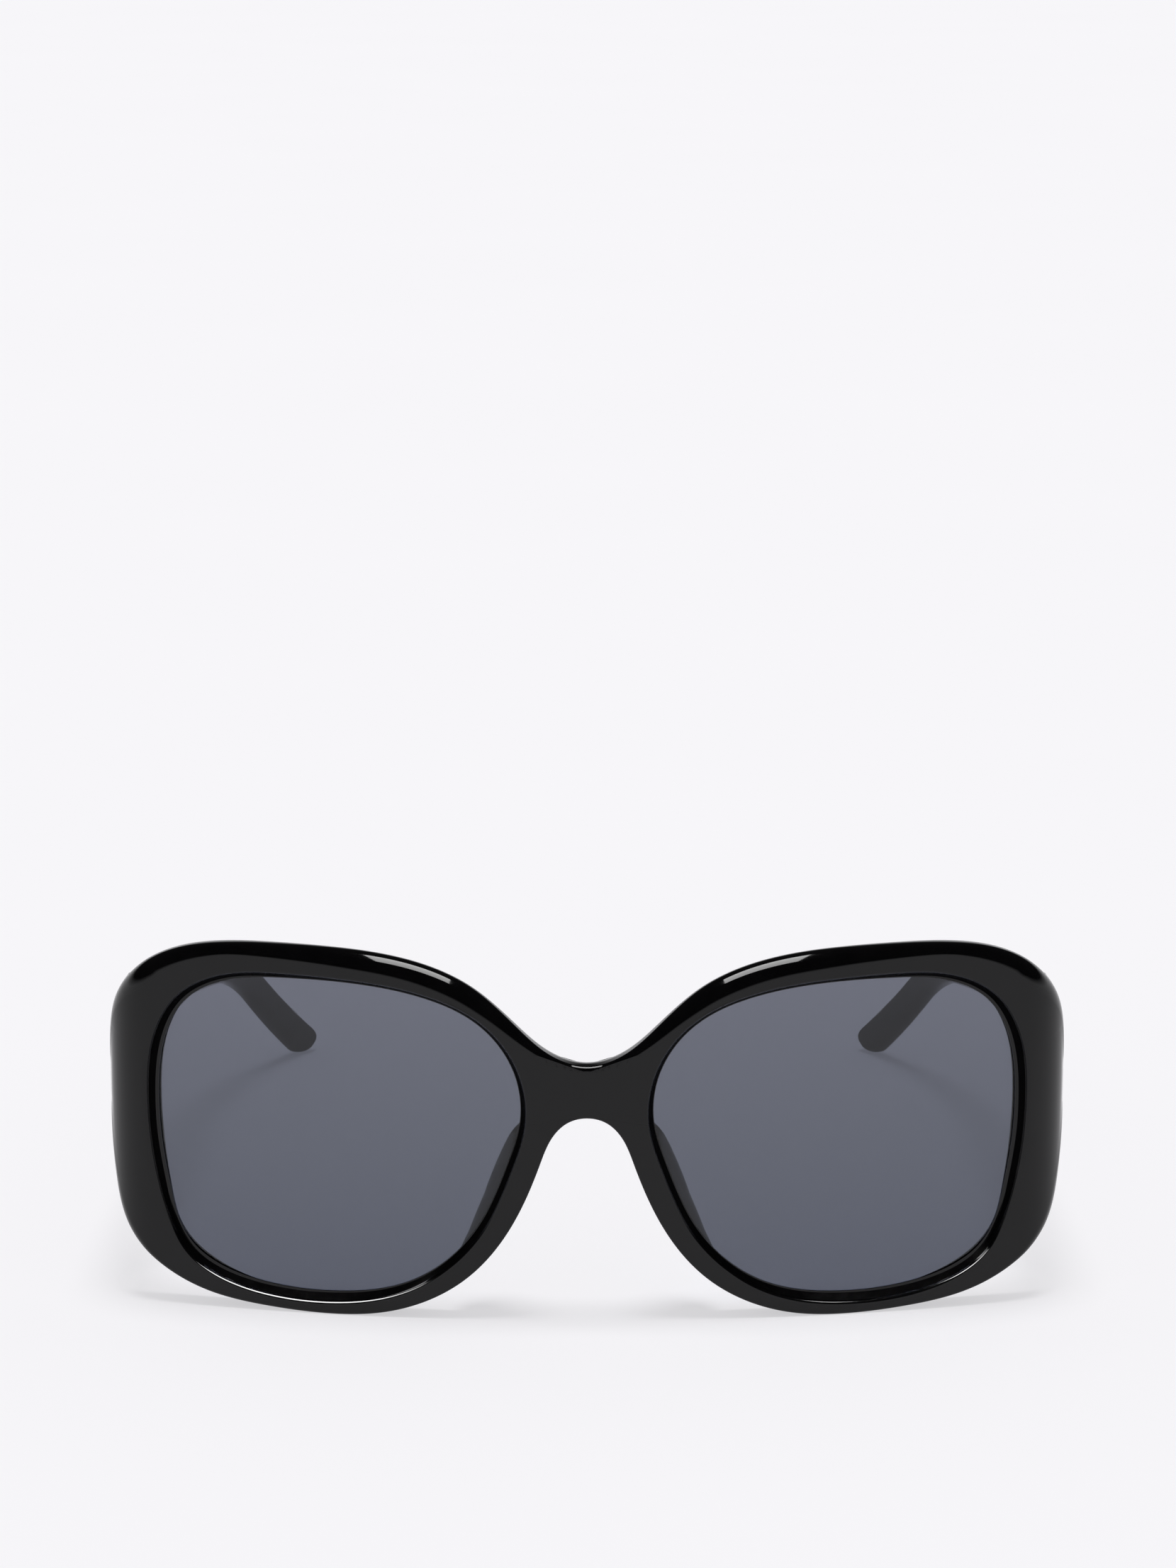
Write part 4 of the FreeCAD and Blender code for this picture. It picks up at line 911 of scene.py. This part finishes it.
tree.links.new(walls, mirrored.inputs["Color"])
tree.links.new(path.outputs["Is Glossy Ray"], choose.inputs["Fac"])
tree.links.new(even.outputs["Background"], choose.inputs[1])
tree.links.new(mirrored.outputs["Background"], choose.inputs[2])
tree.links.new(choose.outputs["Shader"], output.inputs["Surface"])


def hang(name, kind, power):
    """A new lamp."""
    lamp = bpy.data.objects.new(name, bpy.data.lights.new(name, kind))
    lamp.data.energy = power
    scene.collection.objects.link(lamp)
    return lamp


def hang_panel(name, power, width, depth):
    """A lit panel that shows only in the polish."""
    panel = hang(name, "AREA", power)
    panel.data.shape = "RECTANGLE"
    panel.data.size, panel.data.size_y = width, depth
    panel.visible_camera = panel.visible_diffuse = False
    return panel


brow_depth, box_behind, box_above = 0.004, 0.020, 0.100
soft_box = hang_panel("soft_box", power=0.150, width=0.062, depth=0.070)
brow = Vector((0, front_y + brow_depth, cad_box[1][2]))
soft_box.location = brow + Vector((0, box_behind, box_above))
soft_box.rotation_euler = (brow - soft_box.location).to_track_quat("-Z", "Y").to_euler()
# Two low strips that face down catch the front edge below the lenses, the first only in the outer
# corner and the second all along it.
strip_depth, strip_ahead, strip_height = 0.028, 0.020, 0.040
for place, width, power in ((-0.056, 0.018, 0.045), (0.039, 0.026, 0.065)):
    strip = hang_panel("strip", power, width, strip_depth)
    strip.data.spread = math.radians(120)
    strip.location = (place, front_y - strip_ahead, strip_height)
overhead = hang("overhead", "SUN", power=1.82)
overhead.data.angle = math.radians(22)
overhead.visible_glossy = False

# Camera
# It stands at arm's length before the front, about 17 degrees above it, with a long lens. It is
# tilted less than that, which leaves room above the glasses.
camera_aside, camera_ahead, camera_height, camera_tilt = 0.00016, 0.66944, 0.2360, 12.689
camera = bpy.data.objects.new("camera", bpy.data.cameras.new("camera"))
scene.collection.objects.link(camera)
scene.camera = camera
camera.data.lens = 104.5
camera.location = (camera_aside, front_y - camera_ahead, camera_height)
camera.rotation_euler = (math.radians(90 - camera_tilt), 0, 0)
